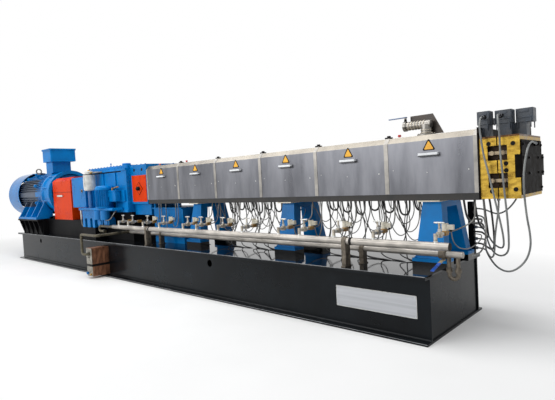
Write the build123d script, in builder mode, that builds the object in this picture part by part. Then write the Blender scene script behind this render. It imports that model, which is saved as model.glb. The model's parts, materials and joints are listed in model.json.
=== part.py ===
"""Co-rotating twin-screw compounding extruder on its base frame.

X runs along the machine from the motor to the die, Y from the operator's side to the back, Z up.
The origin is on the floor under the middle of the base frame.  All sizes are in millimetres.
"""
from build123d import *
from math import cos, pi, radians, sin, sqrt, tan
import os

os.makedirs("parts", exist_ok=True)

# Base frame
base_length = 8350
base_width = 1100
base_height = 500
deck_thickness = 12
deck_seam_x = -500
deck_seam_gap = 4
beam_flange_width = 160
beam_flange_thickness = 16
beam_web_thickness = 12
beam_root_radius = 14
end_plate_thickness = 16
end_plate_inset = 12
cross_member_count = 9
cross_member_thickness = 12
cross_member_foot_width = 120
lifting_hole_diameter = 78
lifting_hole_height = 374
lifting_hole_x = (-3220, 1675)
nameplate_width = 715
nameplate_height = 170
nameplate_thickness = 2
nameplate_x = 3712
nameplate_z = 250

# Depth by which touching pieces are seated in each other
seat = 0.3

# Heights of the two shaft lines
drive_axis_z = 1220
screw_axis_z = 1240

# Main motor, set out along the shaft from the gearbox
motor_foot_z = 770
motor_frame_length = 1098
motor_core_radius = 358
motor_fin_height = 36
motor_fin_thickness = 9
motor_fin_pitch = 6
motor_side_pad_width = 76
motor_foot_end_shift = 112
motor_foot_length = 930
motor_foot_half_width = 535
motor_foot_inner = 300
motor_foot_thickness = 38
motor_foot_rib_thickness = 30
motor_foot_rib_count = 4
motor_pedestal_plate_thickness = 30
motor_pedestal_half_width = 440
motor_pedestal_rib_thickness = 14
motor_pedestal_rib_count = 5
pedestal_margin = 40
shield_length = 430
shield_radius = 410
shield_waist_radius = 374
shield_rib_count = 10
shield_rib_thickness = 22
shield_step = 12
shield_rim_length = 92
shield_hub_radius = 205
shield_hub_length = 26
cowl_length = 630
cowl_radius = 440
cowl_wall = 5
cowl_corner_radius = 60
cowl_overlap = 56
cowl_slot_width = 14
cowl_slot_count = 7
cowl_slot_first_radius = 90
cowl_slot_pitch = 34
cowl_spoke_width = 26
terminal_box_length = 378
terminal_box_half_width = 232
terminal_box_height = 240
terminal_box_shift = -16
terminal_neck_shift = -78
terminal_neck_length = 300
terminal_neck_half_width = 168
terminal_neck_top_z = 1816
terminal_lid_thickness = 30
terminal_lid_overhang = 12
eyebolt_ring_radius = 46
eyebolt_wire_radius = 10
eyebolt_spacing = 300
eyebolt_distance = 675
eyebolt_pad_radius = 44
eyebolt_pad_height = 28
eyebolt_boss_radius = 22
eyebolt_boss_height = 16

# Coupling guard between the motor and the gearbox
guard_length = 745
guard_motor_clearance = 6
guard_gearbox_clearance = 25
guard_half_width = 340
guard_bottom_z = 765
guard_side_height = 664
guard_chamfer_width = 82
guard_chamfer_height = 58

# Gearbox
gearbox_start_x = -1525
gearbox_length = 1247
gearbox_half_width = 302
gearbox_split_z = 1498
gearbox_top_z = 1572
gearbox_foot_z = 905
gearbox_foot_thickness = 35
gearbox_foot_overhang = 20
gearbox_flange_thickness = 140
gearbox_flange_overhang = 14
gearbox_split_flange_height = 30
gearbox_split_flange_overhang = 28
gearbox_groove_height = 18
gearbox_cap_x = -520
gearbox_cap_y = -165
gearbox_cap_radius = 62
gearbox_cap_height = 36
gearbox_rib_width = 22
gearbox_rib_depth = 16
gearbox_rib_count = 3
input_stage_radius = 205
input_stage_flange_radius = 250
input_stage_flange_thickness = 34
input_stage_length = 545
inspection_cover_x = -435
inspection_cover_z = 1140
inspection_cover_width = 226
inspection_cover_height = 165
inspection_cover_thickness = 36

# Lantern between the gearbox and the first barrel
lantern_half_width = 253
lantern_bottom_z = 1015
lantern_top_z = 1558
lantern_wall = 22
lantern_plate_width = 366
lantern_plate_height = 364
lantern_plate_thickness = 6
lantern_plate_z = 1229
lantern_plate_shift = 16
lantern_window_margin = 25
lantern_diamond_radius = 88
lantern_diamond_thickness = 4
lantern_knob_radius = 27
lantern_knob_neck = 22
lantern_hole_radius = 22
lantern_hole_z = 1487
lantern_hole_pitch = 200
lantern_leg_bottom_z = 863

# Lubrication unit
tank_start_x = -1888
tank_length = 472
tank_front_y = -400
tank_depth = 185
tank_notch_x = -1600
tank_bottom_z = 980
tank_height = 477
filter_x = -1180
filter_y = -430
filter_radius = 86
filter_bottom_z = 1240
filter_height = 235
filter_rim = 12
filter_head_height = 62
filter_head_radius = 60
filter_column_radius = 34
platform_start_x = -1488
platform_length = 1080
platform_front_y = -490
platform_thickness = 36
platform_top_z = 975
pump_motor_x = -742
pump_motor_y = -430
pump_motor_radius = 106
pump_motor_fin = 16
pump_motor_fin_pitch = 15
pump_motor_height = 262
pump_motor_foot_height = 24
pump_motor_dome_height = 62
pump_stand_start_x = -1455
pump_stand_length = 400
pump_stand_front_y = -452
pump_stand_foot_z = 680
pump_arch_width = 78
pump_arch_height = 168
pump_arch_bottom_z = 738
pump_body_x = (-742, -944)
pump_neck_radius = 70
pump_body_radius = 84
pump_body_length = 100
pump_body_y = -372
pump_body_z = 762
pump_flange_radius = 46
pump_flange_length = 10

# Barrel, its rails and its covers
cover_start_x = 147
cover_pitch = 720
cover_count = 6
cover_joint_gap = 8
cover_half_width = 253
cover_bottom_z = 1069
cover_side_height = 404
cover_chamfer = 45
cover_wall = 30
barrel_half_width = 130
barrel_half_height = 115
barrel_flange = 34
barrel_flange_thickness = 34
barrels_per_cover = 2
rail_height = 50
rail_width = 60
rail_inset = 7
handle_length = 158
handle_reach = 30
handle_thickness = 9
handle_foot = 14
handle_height = 27
handle_drop = 108
handle_corner = 8

# Barrel supports
support_first_x = 4085
support_pitch = 1471
support_count = 3
support_top_width = 144
support_bottom_width = 232
support_leg_top_y = 140
support_leg_bottom_y = 215
support_leg_thickness = 46
support_head_height = 60
support_pad_height = 52
support_foot_thickness = 26
support_foot_margin = 20
feed_stand_start_x = 175
feed_stand_length = 660
feed_stand_half_width = 190
feed_stand_gap = 58
feed_stand_cap_height = 14
feed_stand_cap_overhang = 26
feed_stand_screw_radius = 14
feed_stand_screw_inset = 60

# Vent on the last barrel section
vent_x = 3980
vent_stack_radius = 42
vent_stack_flange_radius = 74
vent_stack_clearance = 8
vent_tube_radius = 33
vent_tube_length = 190
vent_tube_z = 1622
vent_base_length = 170
vent_base_height = 14
vent_flange_lift = 4
vent_flange_thickness = 20
vent_hood_thickness = 4
vent_hood_start_x = 3826
vent_hood_end_x = 4020
vent_hood_foot_x = 4105
vent_hood_top_z = 1706
vent_lever_x = 3802
vent_lever_length = 150
vent_lever_width = 22
vent_lever_thickness = 8
vent_stem_radius = 10
vent_lever_z = 1701

# Die head
adapter_thickness = 10
adapter_half_width = 280
adapter_bottom_z = 1027
adapter_top_z = 1524
die_half_width = 270
die_bottom_z = 1027
die_top_z = 1452
die_left_length = 111
die_joint_gap = 8
die_right_length = 136
die_spigot_radius = 90
clamp_pocket_length = 124
clamp_pocket_height = 100
clamp_pocket_depth = 40
clamp_bar_height = 22
clamp_bar_recess = 8
clamp_screw_radius = 15
clamp_screw_spacing = 70
clamp_heights = (1337, 1150)
nose_depth = 31
nose_overhang = 16
nose_half_width = 276
nose_bottom_z = 1166
nose_top_z = 1319
die_connector_y = 60
die_connector_z = 1394
die_connector_size = 32
panel_thickness = 8
panel_half_width = 256
panel_bottom_z = 1050
panel_top_z = 1416
plug_base_margin = 13
plug_base_height = 90
plug_head_lengths = (84, 108, 108)
plug_head_height = 92
plug_depth = 90
plug_centers_x = (4490, 4602, 4720)
plug_first_y = -170
plug_step_y = 60
plug_base_shift = 10

# Cooling water
supply_pipe_radius = 28.5
return_pipe_radius = 24
supply_y = -465
supply_z = 710
supply_start_x = -460
supply_end_overhang = 150
return_y = -300
return_z = 628
return_start_x = -280
return_end_overhang = 176
bracket_x = (412, 3440)
bracket_step_x = 58
bracket_width = 40
bracket_saddle_margin = 6
bracket_foot_margin = 14
bracket_foot_height = 8
station_end_overhang = 49
station_bay = 1507
station_steps = (0, 499, 876, 1253)
station_bays = 3
station_extra_x = -300
station_coil_limit_x = 200
riser_radius = 13
riser_lift = 44
station_pipe_radius = 11
elbow_cap = 16
needle_valve_reach = 72
needle_valve_size = 34
needle_valve_height = 40
needle_stem_radius = 8
needle_stem_height = 66
handwheel_length = 72
handwheel_radius = 5
solenoid_reach = 172
solenoid_body_length = 56
solenoid_body_height = 34
solenoid_body_width = 32
solenoid_coil_radius = 24
solenoid_coil_height = 54
solenoid_plug_length = 40
solenoid_plug_width = 28
solenoid_plug_height = 34
bypass_valve_overhang = 30
bypass_valve_length = 50
bypass_valve_radius = 36
bypass_stem_radius = 9
bypass_stem_length = 9
bypass_leg_shift = 42
bypass_leg_spacing = 66
bypass_leg_radius = 15
bypass_drop = 178
bypass_union_radius = 23
bypass_union_height = 30
bypass_lever_length = 198
bypass_lever_width = 24
bypass_lever_thickness = 7
bypass_lever_droop = 13

# Oil cooler hung on the front of the base frame
exchanger_start_x = -794
exchanger_length = 163
exchanger_front_y = -725
exchanger_bottom_z = 31
exchanger_height = 399
exchanger_plate_thickness = 14
exchanger_fin_depth = 5
exchanger_fin_count = 11
exchanger_fin_thickness = 9
exchanger_strap_height = 22
exchanger_strap_z = 178
exchanger_strap_thickness = 3
exchanger_pipe_radius = 18
exchanger_pipe_bend = 30
exchanger_run_y = -790
exchanger_run_x = -330
exchanger_drop_x = -778
exchanger_port_x = -688
exchanger_port_z = 352
exchanger_union_radius = 25
exchanger_union_length = 26
inlet_elbow_x = -880
inlet_drop = 70
inlet_end_x = -720

# Socket post behind the die for the heater and sensor cables
post_inset = 53
post_width = 46
post_y = 440
post_depth = 40
post_height = 460
socket_heights = (840, 740, 900, 640, 560)
cable_diameter = 13


def section_plane(x):
    """Plane across the machine at x, with its own x along Y and its own y along Z."""
    return Plane(origin=(x, 0, 0), x_dir=(0, 1, 0), z_dir=(1, 0, 0))


def front_plane(y):
    """Plane along the machine at y, with its own x along X and its own y along Z, facing the operator."""
    return Plane(origin=(0, y, 0), x_dir=(1, 0, 0), z_dir=(0, -1, 0))


# Base frame: two long I beams, end plates, cross members and the deck
base_end_x = base_length / 2
beam_height = base_height - deck_thickness
beam_length = base_length
beam_center_y = base_width / 2 - beam_flange_width / 2
beam_web_offset = (beam_flange_width + beam_web_thickness) / 4
beam_recess_width = (beam_flange_width - beam_web_thickness) / 2
web_outer_y = beam_center_y + beam_web_thickness / 2
web_inner_y = beam_center_y - beam_web_thickness / 2
member_half_width = base_width / 2 - beam_flange_width

for side, beam_name in ((-1, "base_beam_front"), (1, "base_beam_rear")):
    with BuildPart() as beam:
        with BuildSketch(section_plane(-beam_length / 2)) as beam_section:
            with Locations((side * beam_center_y, beam_height / 2)):
                Rectangle(beam_flange_width, beam_height)
            with Locations(
                (side * beam_center_y - beam_web_offset, beam_height / 2),
                (side * beam_center_y + beam_web_offset, beam_height / 2),
            ):
                RectangleRounded(
                    beam_recess_width,
                    beam_height - 2 * beam_flange_thickness,
                    beam_root_radius,
                    mode=Mode.SUBTRACT,
                )
            for edge_side in (-1, 1):
                edge_y = side * beam_center_y + edge_side * (beam_flange_width / 2 - beam_root_radius)
                with Locations((edge_y, beam_height / 2)):
                    Rectangle(
                        2 * beam_root_radius,
                        beam_height - 2 * beam_flange_thickness,
                        mode=Mode.SUBTRACT,
                    )
        extrude(amount=beam_length)
        with BuildSketch(front_plane(side * beam_center_y)):
            with Locations(*[(x, lifting_hole_height) for x in lifting_hole_x]):
                Circle(lifting_hole_diameter / 2)
        extrude(amount=beam_web_thickness, both=True, mode=Mode.SUBTRACT)
    beam.part.label = beam_name
    export_step(beam.part, f"parts/{beam_name}.step")

member_spacing = beam_length / (cross_member_count + 1)
with BuildPart() as base_cross_members:
    for end in (-1, 1):
        plate_x = end * (base_length / 2 - end_plate_inset - end_plate_thickness / 2)
        with BuildSketch(section_plane(plate_x - end_plate_thickness / 2)):
            with Locations((0, beam_height / 2)):
                RectangleRounded(
                    2 * web_inner_y,
                    beam_height - 2 * beam_flange_thickness,
                    beam_root_radius + 2,
                )
        extrude(amount=end_plate_thickness)
        for flange_z in (0, beam_height - beam_flange_thickness):
            with BuildSketch(Plane.XY.offset(flange_z)):
                with Locations((end * (base_length / 2 - beam_flange_width / 2), 0)):
                    Rectangle(beam_flange_width, 2 * member_half_width)
            extrude(amount=beam_flange_thickness)
    for number in range(cross_member_count):
        member_x = (number + 1) * member_spacing - beam_length / 2
        with BuildSketch(Plane.XY):
            with Locations((member_x, 0)):
                Rectangle(cross_member_thickness, 2 * member_half_width)
        extrude(amount=beam_height)
        with BuildSketch(Plane.XY):
            with Locations((member_x, 0)):
                Rectangle(cross_member_foot_width, 2 * member_half_width)
        extrude(amount=cross_member_thickness)
base_cross_members.part.label = "base_cross_members"
export_step(base_cross_members.part, "parts/base_cross_members.step")

support_foot_length = support_bottom_width + 2 * support_foot_margin
support_foot_width = 2 * support_leg_thickness + 2 * support_foot_margin
support_centers_x = [support_first_x - number * support_pitch for number in range(support_count)]
with BuildPart() as base_deck:
    with BuildSketch(Plane.XY.offset(beam_height)):
        Rectangle(base_length, base_width)
        with Locations((deck_seam_x, 0)):
            Rectangle(deck_seam_gap, base_width, mode=Mode.SUBTRACT)
    extrude(amount=deck_thickness)
    with BuildSketch(Plane.XY.offset(base_height)):
        for support_x in support_centers_x:
            with Locations((support_x, support_leg_bottom_y), (support_x, -support_leg_bottom_y)):
                Rectangle(support_foot_length, support_foot_width)
    extrude(amount=support_pad_height)
base_deck.part.label = "base_deck"
export_step(base_deck.part, "parts/base_deck.step")

with BuildPart() as nameplate:
    with BuildSketch(front_plane(-web_outer_y)):
        with Locations((nameplate_x, nameplate_z)):
            RectangleRounded(nameplate_width, nameplate_height, nameplate_thickness * 4)
    extrude(amount=nameplate_thickness)
nameplate.part.label = "nameplate"
export_step(nameplate.part, "parts/nameplate.step")

# Drive line, set out along the shaft from the gearbox to the motor's fan end
input_stage_start_x = gearbox_start_x - input_stage_length
guard_start_x = input_stage_start_x - guard_gearbox_clearance - guard_length
shield_end_x = guard_start_x - guard_motor_clearance - shield_hub_length
shield_start_x = shield_end_x - shield_length
motor_frame_start_x = shield_start_x - motor_frame_length
motor_foot_start_x = shield_start_x + motor_foot_end_shift - motor_foot_length
terminal_box_center_x = shield_start_x + terminal_box_shift
terminal_neck_center_x = shield_start_x + terminal_neck_shift

# Pedestal under the motor and the coupling guard, with gussets below the motor's foot plate
pedestal_start_x = motor_foot_start_x - pedestal_margin
pedestal_plate_length = motor_foot_length + 2 * pedestal_margin
pedestal_end_x = gearbox_start_x - pedestal_margin
plate_bottom_z = motor_foot_z - motor_pedestal_plate_thickness
rib_spacing = (pedestal_plate_length - 2 * pedestal_margin) / (motor_pedestal_rib_count - 1)
with BuildPart() as motor_pedestal:
    with BuildSketch(Plane.XY.offset(base_height)):
        with Locations((pedestal_start_x, 0)):
            Rectangle(
                pedestal_plate_length,
                2 * motor_pedestal_half_width,
                align=(Align.MIN, Align.CENTER),
            )
    extrude(amount=plate_bottom_z - base_height)
    with BuildSketch(Plane.XY.offset(plate_bottom_z)):
        with Locations((pedestal_start_x, 0)):
            Rectangle(
                pedestal_plate_length,
                2 * motor_foot_half_width,
                align=(Align.MIN, Align.CENTER),
            )
    extrude(amount=motor_pedestal_plate_thickness)
    for number in range(motor_pedestal_rib_count):
        rib_x = pedestal_start_x + pedestal_margin + number * rib_spacing
        with BuildSketch(section_plane(rib_x - motor_pedestal_rib_thickness / 2)):
            with BuildLine():
                Polyline(
                    (-motor_pedestal_half_width - 10, base_height),
                    (motor_pedestal_half_width + 10, base_height),
                    (motor_foot_half_width - 10, plate_bottom_z),
                    (-motor_foot_half_width + 10, plate_bottom_z),
                    close=True,
                )
            make_face()
        extrude(amount=motor_pedestal_rib_thickness)
    with BuildSketch(Plane.XY.offset(base_height)):
        with Locations((pedestal_start_x + pedestal_plate_length, 0)):
            Rectangle(
                pedestal_end_x - pedestal_start_x - pedestal_plate_length,
                2 * guard_half_width,
                align=(Align.MIN, Align.CENTER),
            )
    extrude(amount=guard_bottom_z - base_height)
motor_pedestal.part.label = "motor_pedestal"
export_step(motor_pedestal.part, "parts/motor_pedestal.step")

# Motor: finned stator frame on two ribbed feet
fin_radius = motor_core_radius + motor_fin_height
fin_count = int(360 / motor_fin_pitch)
foot_top_z = motor_foot_z + motor_foot_thickness
foot_center_x = motor_foot_start_x + motor_foot_length / 2
eyebolt_places = [(shield_start_x - eyebolt_distance, side * eyebolt_spacing / 2) for side in (-1, 1)]
eyebolt_crown = sqrt(motor_core_radius**2 - (eyebolt_spacing / 2) ** 2)
eyebolt_pad_top_z = drive_axis_z + eyebolt_crown + motor_fin_height + eyebolt_pad_height
foot_rib_spacing = (motor_foot_length - motor_foot_rib_thickness) / (motor_foot_rib_count - 1)
with BuildPart() as motor_frame:
    with BuildSketch(section_plane(motor_frame_start_x)):
        with Locations((0, drive_axis_z)):
            Circle(motor_core_radius)
            with PolarLocations(motor_core_radius + motor_fin_height / 2 - 1, fin_count):
                Rectangle(motor_fin_height + 2, motor_fin_thickness)
            Rectangle(2 * fin_radius, motor_side_pad_width)
    extrude(amount=motor_frame_length)
    for side in (-1, 1):
        with BuildSketch(Plane.XY.offset(motor_foot_z)):
            with Locations((foot_center_x, side * (motor_foot_inner + motor_foot_half_width) / 2)):
                Rectangle(motor_foot_length, motor_foot_half_width - motor_foot_inner)
        extrude(amount=motor_foot_thickness)
        for number in range(motor_foot_rib_count):
            rib_x = motor_foot_start_x + number * foot_rib_spacing
            shoulder_z = drive_axis_z - sqrt(motor_core_radius**2 - motor_foot_inner**2)
            with BuildSketch(section_plane(rib_x)):
                with BuildLine():
                    Polyline(
                        (side * (motor_foot_inner - 60), foot_top_z - 10),
                        (side * (motor_foot_half_width - 12), foot_top_z - 10),
                        (side * (motor_core_radius - 14), drive_axis_z - 90),
                        (side * (motor_foot_inner - 60), shoulder_z + 30),
                        close=True,
                    )
                make_face()
            extrude(amount=motor_foot_rib_thickness)
        with BuildSketch(Plane.XY.offset(foot_top_z - 10)):
            with Locations((foot_center_x, side * (motor_foot_inner + 10))):
                Rectangle(motor_foot_length, motor_foot_rib_thickness)
        extrude(amount=shoulder_z - foot_top_z + 60)
    with BuildSketch(Plane.XY.offset(drive_axis_z + motor_core_radius - 60)):
        with Locations((shield_start_x, 0)):
            Rectangle(
                shield_start_x - terminal_neck_center_x + terminal_neck_length / 2,
                2 * terminal_neck_half_width,
                align=(Align.MAX, Align.CENTER),
            )
    extrude(amount=motor_fin_height + 60)
    with BuildSketch(Plane.XY.offset(drive_axis_z + motor_core_radius - 60)):
        with Locations(*eyebolt_places):
            Circle(eyebolt_pad_radius)
    extrude(amount=eyebolt_pad_top_z - drive_axis_z - motor_core_radius + 60)
    with BuildSketch(section_plane(shield_start_x)):
        with Locations((0, drive_axis_z)):
            Circle(shield_radius - shield_step)
    extrude(amount=motor_foot_length, mode=Mode.SUBTRACT)
motor_frame.part.label = "motor_frame"
export_step(motor_frame.part, "parts/motor_frame.step")

# Drive-end shield: flange, waist and rim turned about the shaft, with cast ribs across the waist
with BuildPart() as motor_end_shield:
    with BuildSketch(front_plane(0)):
        with BuildLine():
            Polyline(
                (shield_start_x, drive_axis_z),
                (shield_start_x, drive_axis_z + shield_radius - shield_step),
                (shield_start_x + 60, drive_axis_z + shield_radius - shield_step),
                (shield_start_x + 90, drive_axis_z + shield_waist_radius),
                (shield_end_x - shield_rim_length - 30, drive_axis_z + shield_waist_radius),
                (shield_end_x - shield_rim_length, drive_axis_z + shield_radius),
                (shield_end_x, drive_axis_z + shield_radius),
                (shield_end_x, drive_axis_z + shield_radius - 60),
                (shield_end_x - 40, drive_axis_z + shield_radius - 80),
                (shield_end_x - 40, drive_axis_z + shield_hub_radius + 40),
                (shield_end_x, drive_axis_z + shield_hub_radius),
                (shield_end_x + shield_hub_length, drive_axis_z + shield_hub_radius - 10),
                (shield_end_x + shield_hub_length, drive_axis_z),
                close=True,
            )
        make_face()
    revolve(axis=Axis((0, 0, drive_axis_z), (1, 0, 0)))
    with BuildSketch(section_plane(shield_start_x + shield_rim_length / 2)):
        with Locations((0, drive_axis_z)):
            with PolarLocations(shield_waist_radius, shield_rib_count, start_angle=180 / shield_rib_count):
                Rectangle(2 * (shield_radius - shield_step - shield_waist_radius - 2), shield_rib_thickness)
    extrude(amount=shield_length - shield_rim_length)
motor_end_shield.part.label = "motor_end_shield"
export_step(motor_end_shield.part, "parts/motor_end_shield.step")

# Fan cowl: a thin drum with a rounded, slotted end
cowl_end_x = motor_frame_start_x + cowl_overlap
cowl_start_x = cowl_end_x - cowl_length
with BuildPart() as motor_fan_cowl:
    with BuildSketch(section_plane(cowl_start_x)):
        with Locations((0, drive_axis_z)):
            Circle(cowl_radius)
    extrude(amount=cowl_length)
    fillet(motor_fan_cowl.faces().sort_by(Axis.X)[0].edges(), radius=cowl_corner_radius)
    offset(amount=-cowl_wall, openings=motor_fan_cowl.faces().sort_by(Axis.X)[-1])
    with BuildSketch(section_plane(cowl_start_x)):
        with Locations((0, drive_axis_z)):
            for number in range(cowl_slot_count):
                slot_radius = cowl_slot_first_radius + number * cowl_slot_pitch
                Circle(slot_radius + cowl_slot_width / 2)
                Circle(slot_radius - cowl_slot_width / 2, mode=Mode.SUBTRACT)
            Rectangle(2 * cowl_radius, cowl_spoke_width, mode=Mode.SUBTRACT)
            Rectangle(cowl_spoke_width, 2 * cowl_radius, mode=Mode.SUBTRACT)
    extrude(amount=cowl_wall * 2, mode=Mode.SUBTRACT)
    for angle in (7 * motor_fin_pitch, 23 * motor_fin_pitch, 37 * motor_fin_pitch, 53 * motor_fin_pitch):
        pad_plane = Plane(
            origin=(cowl_end_x - cowl_overlap, 0, drive_axis_z),
            x_dir=(1, 0, 0),
            z_dir=(0, cos(radians(angle)), sin(radians(angle))),
        )
        with BuildSketch(pad_plane.offset(fin_radius)):
            Rectangle(cowl_overlap, 30, align=(Align.MIN, Align.CENTER))
        extrude(amount=cowl_radius - fin_radius - cowl_wall / 2)
motor_fan_cowl.part.label = "motor_fan_cowl"
export_step(motor_fan_cowl.part, "parts/motor_fan_cowl.step")

# Terminal box on its neck
neck_bottom_z = drive_axis_z + fin_radius
box_top_z = terminal_neck_top_z + terminal_box_height
with BuildPart() as motor_terminal_box:
    with BuildSketch(Plane.XY.offset(neck_bottom_z)):
        with Locations((terminal_neck_center_x, 0)):
            Rectangle(terminal_neck_length, 2 * terminal_neck_half_width)
    extrude(amount=terminal_neck_top_z - neck_bottom_z)
    with BuildSketch(section_plane(shield_start_x)):
        with Locations((0, drive_axis_z)):
            Circle(shield_radius - shield_step)
    extrude(amount=terminal_neck_length, mode=Mode.SUBTRACT)
    with BuildSketch(Plane.XY.offset(terminal_neck_top_z)):
        with Locations((terminal_box_center_x, 0)):
            RectangleRounded(terminal_box_length, 2 * terminal_box_half_width, 18)
    extrude(amount=terminal_box_height - terminal_lid_thickness)
    with BuildSketch(Plane.XY.offset(box_top_z - terminal_lid_thickness)):
        with Locations((terminal_box_center_x, 0)):
            RectangleRounded(
                terminal_box_length + 2 * terminal_lid_overhang,
                2 * (terminal_box_half_width + terminal_lid_overhang),
                24,
            )
    extrude(amount=terminal_lid_thickness)
motor_terminal_box.part.label = "motor_terminal_box"
export_step(motor_terminal_box.part, "parts/motor_terminal_box.step")

with BuildPart() as motor_lifting_eyes:
    for eye_x, eye_y in eyebolt_places:
        with BuildSketch(Plane.XY.offset(eyebolt_pad_top_z)):
            with Locations((eye_x, eye_y)):
                Circle(eyebolt_boss_radius)
        extrude(amount=eyebolt_boss_height)
        eye_center_z = eyebolt_pad_top_z + eyebolt_boss_height + eyebolt_ring_radius
        with BuildSketch(Plane.YZ.offset(eye_x)):
            with Locations((eye_y, eye_center_z)):
                Circle(eyebolt_ring_radius + eyebolt_wire_radius)
                Circle(eyebolt_ring_radius - eyebolt_wire_radius, mode=Mode.SUBTRACT)
        extrude(amount=eyebolt_wire_radius, both=True)
motor_lifting_eyes.part.label = "motor_lifting_eyes"
export_step(motor_lifting_eyes.part, "parts/motor_lifting_eyes.step")

# Coupling guard: a sheet hood with sloped shoulders
guard_shoulder_z = guard_bottom_z + guard_side_height
guard_top_z = guard_shoulder_z + guard_chamfer_height
with BuildPart() as coupling_guard:
    with BuildSketch(section_plane(guard_start_x)):
        with BuildLine():
            Polyline(
                (-guard_half_width, guard_bottom_z),
                (guard_half_width, guard_bottom_z),
                (guard_half_width, guard_shoulder_z),
                (guard_half_width - guard_chamfer_width, guard_top_z),
                (-guard_half_width + guard_chamfer_width, guard_top_z),
                (-guard_half_width, guard_shoulder_z),
                close=True,
            )
        make_face()
    extrude(amount=guard_length)
coupling_guard.part.label = "coupling_guard"
export_step(coupling_guard.part, "parts/coupling_guard.step")

# Gearbox on its pedestal
gearbox_end_x = gearbox_start_x + gearbox_length
gearbox_body_bottom_z = gearbox_foot_z + gearbox_foot_thickness
gearbox_rib_spacing = (gearbox_length - gearbox_flange_thickness) / gearbox_rib_count
with BuildPart() as gearbox_pedestal:
    with BuildSketch(Plane.XY.offset(base_height)):
        with Locations((gearbox_start_x - pedestal_margin / 2, 0)):
            Rectangle(
                gearbox_length + pedestal_margin / 2,
                2 * (gearbox_half_width - pedestal_margin),
                align=(Align.MIN, Align.CENTER),
            )
    extrude(amount=gearbox_foot_z - base_height)
    with BuildSketch(Plane.XY.offset(base_height)):
        with Locations((pump_stand_start_x, pump_stand_front_y)):
            Rectangle(
                pump_stand_length,
                pedestal_margin - gearbox_half_width - pump_stand_front_y,
                align=(Align.MIN, Align.MIN),
            )
    extrude(amount=pump_stand_foot_z - base_height)
gearbox_pedestal.part.label = "gearbox_pedestal"
export_step(gearbox_pedestal.part, "parts/gearbox_pedestal.step")

with BuildPart() as gearbox_input_stage:
    with BuildSketch(front_plane(0)):
        with BuildLine():
            Polyline(
                (input_stage_start_x, drive_axis_z),
                (input_stage_start_x, drive_axis_z + input_stage_radius - 40),
                (input_stage_start_x + 40, drive_axis_z + input_stage_radius),
                (gearbox_start_x - input_stage_flange_thickness, drive_axis_z + input_stage_radius),
                (gearbox_start_x - input_stage_flange_thickness, drive_axis_z + input_stage_flange_radius),
                (gearbox_start_x, drive_axis_z + input_stage_flange_radius),
                (gearbox_start_x, drive_axis_z),
                close=True,
            )
        make_face()
    revolve(axis=Axis((0, 0, drive_axis_z), (1, 0, 0)))
gearbox_input_stage.part.label = "gearbox_input_stage"
export_step(gearbox_input_stage.part, "parts/gearbox_input_stage.step")

with BuildPart() as gearbox_housing:
    with BuildSketch(Plane.XY.offset(gearbox_body_bottom_z)):
        with Locations((gearbox_start_x, 0)):
            Rectangle(gearbox_length, 2 * gearbox_half_width, align=(Align.MIN, Align.CENTER))
    extrude(amount=gearbox_split_z - gearbox_body_bottom_z)
    with BuildSketch(Plane.XY.offset(gearbox_foot_z)):
        with Locations((gearbox_start_x, 0)):
            Rectangle(
                gearbox_length,
                2 * (gearbox_half_width + gearbox_foot_overhang),
                align=(Align.MIN, Align.CENTER),
            )
    extrude(amount=gearbox_foot_thickness)
    with BuildSketch(section_plane(gearbox_end_x - gearbox_flange_thickness)):
        with Locations((0, gearbox_foot_z)):
            Rectangle(
                2 * (gearbox_half_width + gearbox_flange_overhang),
                gearbox_split_z - gearbox_foot_z,
                align=(Align.CENTER, Align.MIN),
            )
    extrude(amount=gearbox_flange_thickness)
    for number in range(gearbox_rib_count):
        rib_x = gearbox_start_x + (number + 0.5) * gearbox_rib_spacing
        with BuildSketch(Plane.XY.offset(gearbox_body_bottom_z)):
            with Locations((rib_x, 0)):
                Rectangle(gearbox_rib_width, 2 * (gearbox_half_width + gearbox_rib_depth))
        extrude(amount=gearbox_split_z - gearbox_groove_height - gearbox_body_bottom_z)
    with BuildSketch(front_plane(-gearbox_half_width)):
        with Locations((inspection_cover_x, inspection_cover_z)):
            RectangleRounded(inspection_cover_width, inspection_cover_height, 14)
    extrude(amount=inspection_cover_thickness)
gearbox_housing.part.label = "gearbox_housing"
export_step(gearbox_housing.part, "parts/gearbox_housing.step")

with BuildPart() as gearbox_cover:
    with BuildSketch(Plane.XY.offset(gearbox_split_z)):
        with Locations((gearbox_start_x, 0)):
            Rectangle(
                gearbox_length,
                2 * (gearbox_half_width + gearbox_split_flange_overhang),
                align=(Align.MIN, Align.CENTER),
            )
    extrude(amount=gearbox_split_flange_height)
    with BuildSketch(Plane.XY.offset(gearbox_split_z + gearbox_split_flange_height)):
        with Locations((gearbox_start_x + 16, 0)):
            RectangleRounded(
                gearbox_length - 32,
                2 * gearbox_half_width - 24,
                26,
                align=(Align.MIN, Align.CENTER),
            )
    extrude(amount=gearbox_top_z - gearbox_split_z - gearbox_split_flange_height)
    with BuildSketch(Plane.XY.offset(gearbox_top_z)):
        with Locations((gearbox_cap_x, gearbox_cap_y)):
            Circle(gearbox_cap_radius)
    extrude(amount=gearbox_cap_height)
    cap_rim = gearbox_cover.faces().sort_by(Axis.Z)[-1].edges()
    chamfer(cap_rim, length=gearbox_cap_height / 4)
gearbox_cover.part.label = "gearbox_cover"
export_step(gearbox_cover.part, "parts/gearbox_cover.step")

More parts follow.
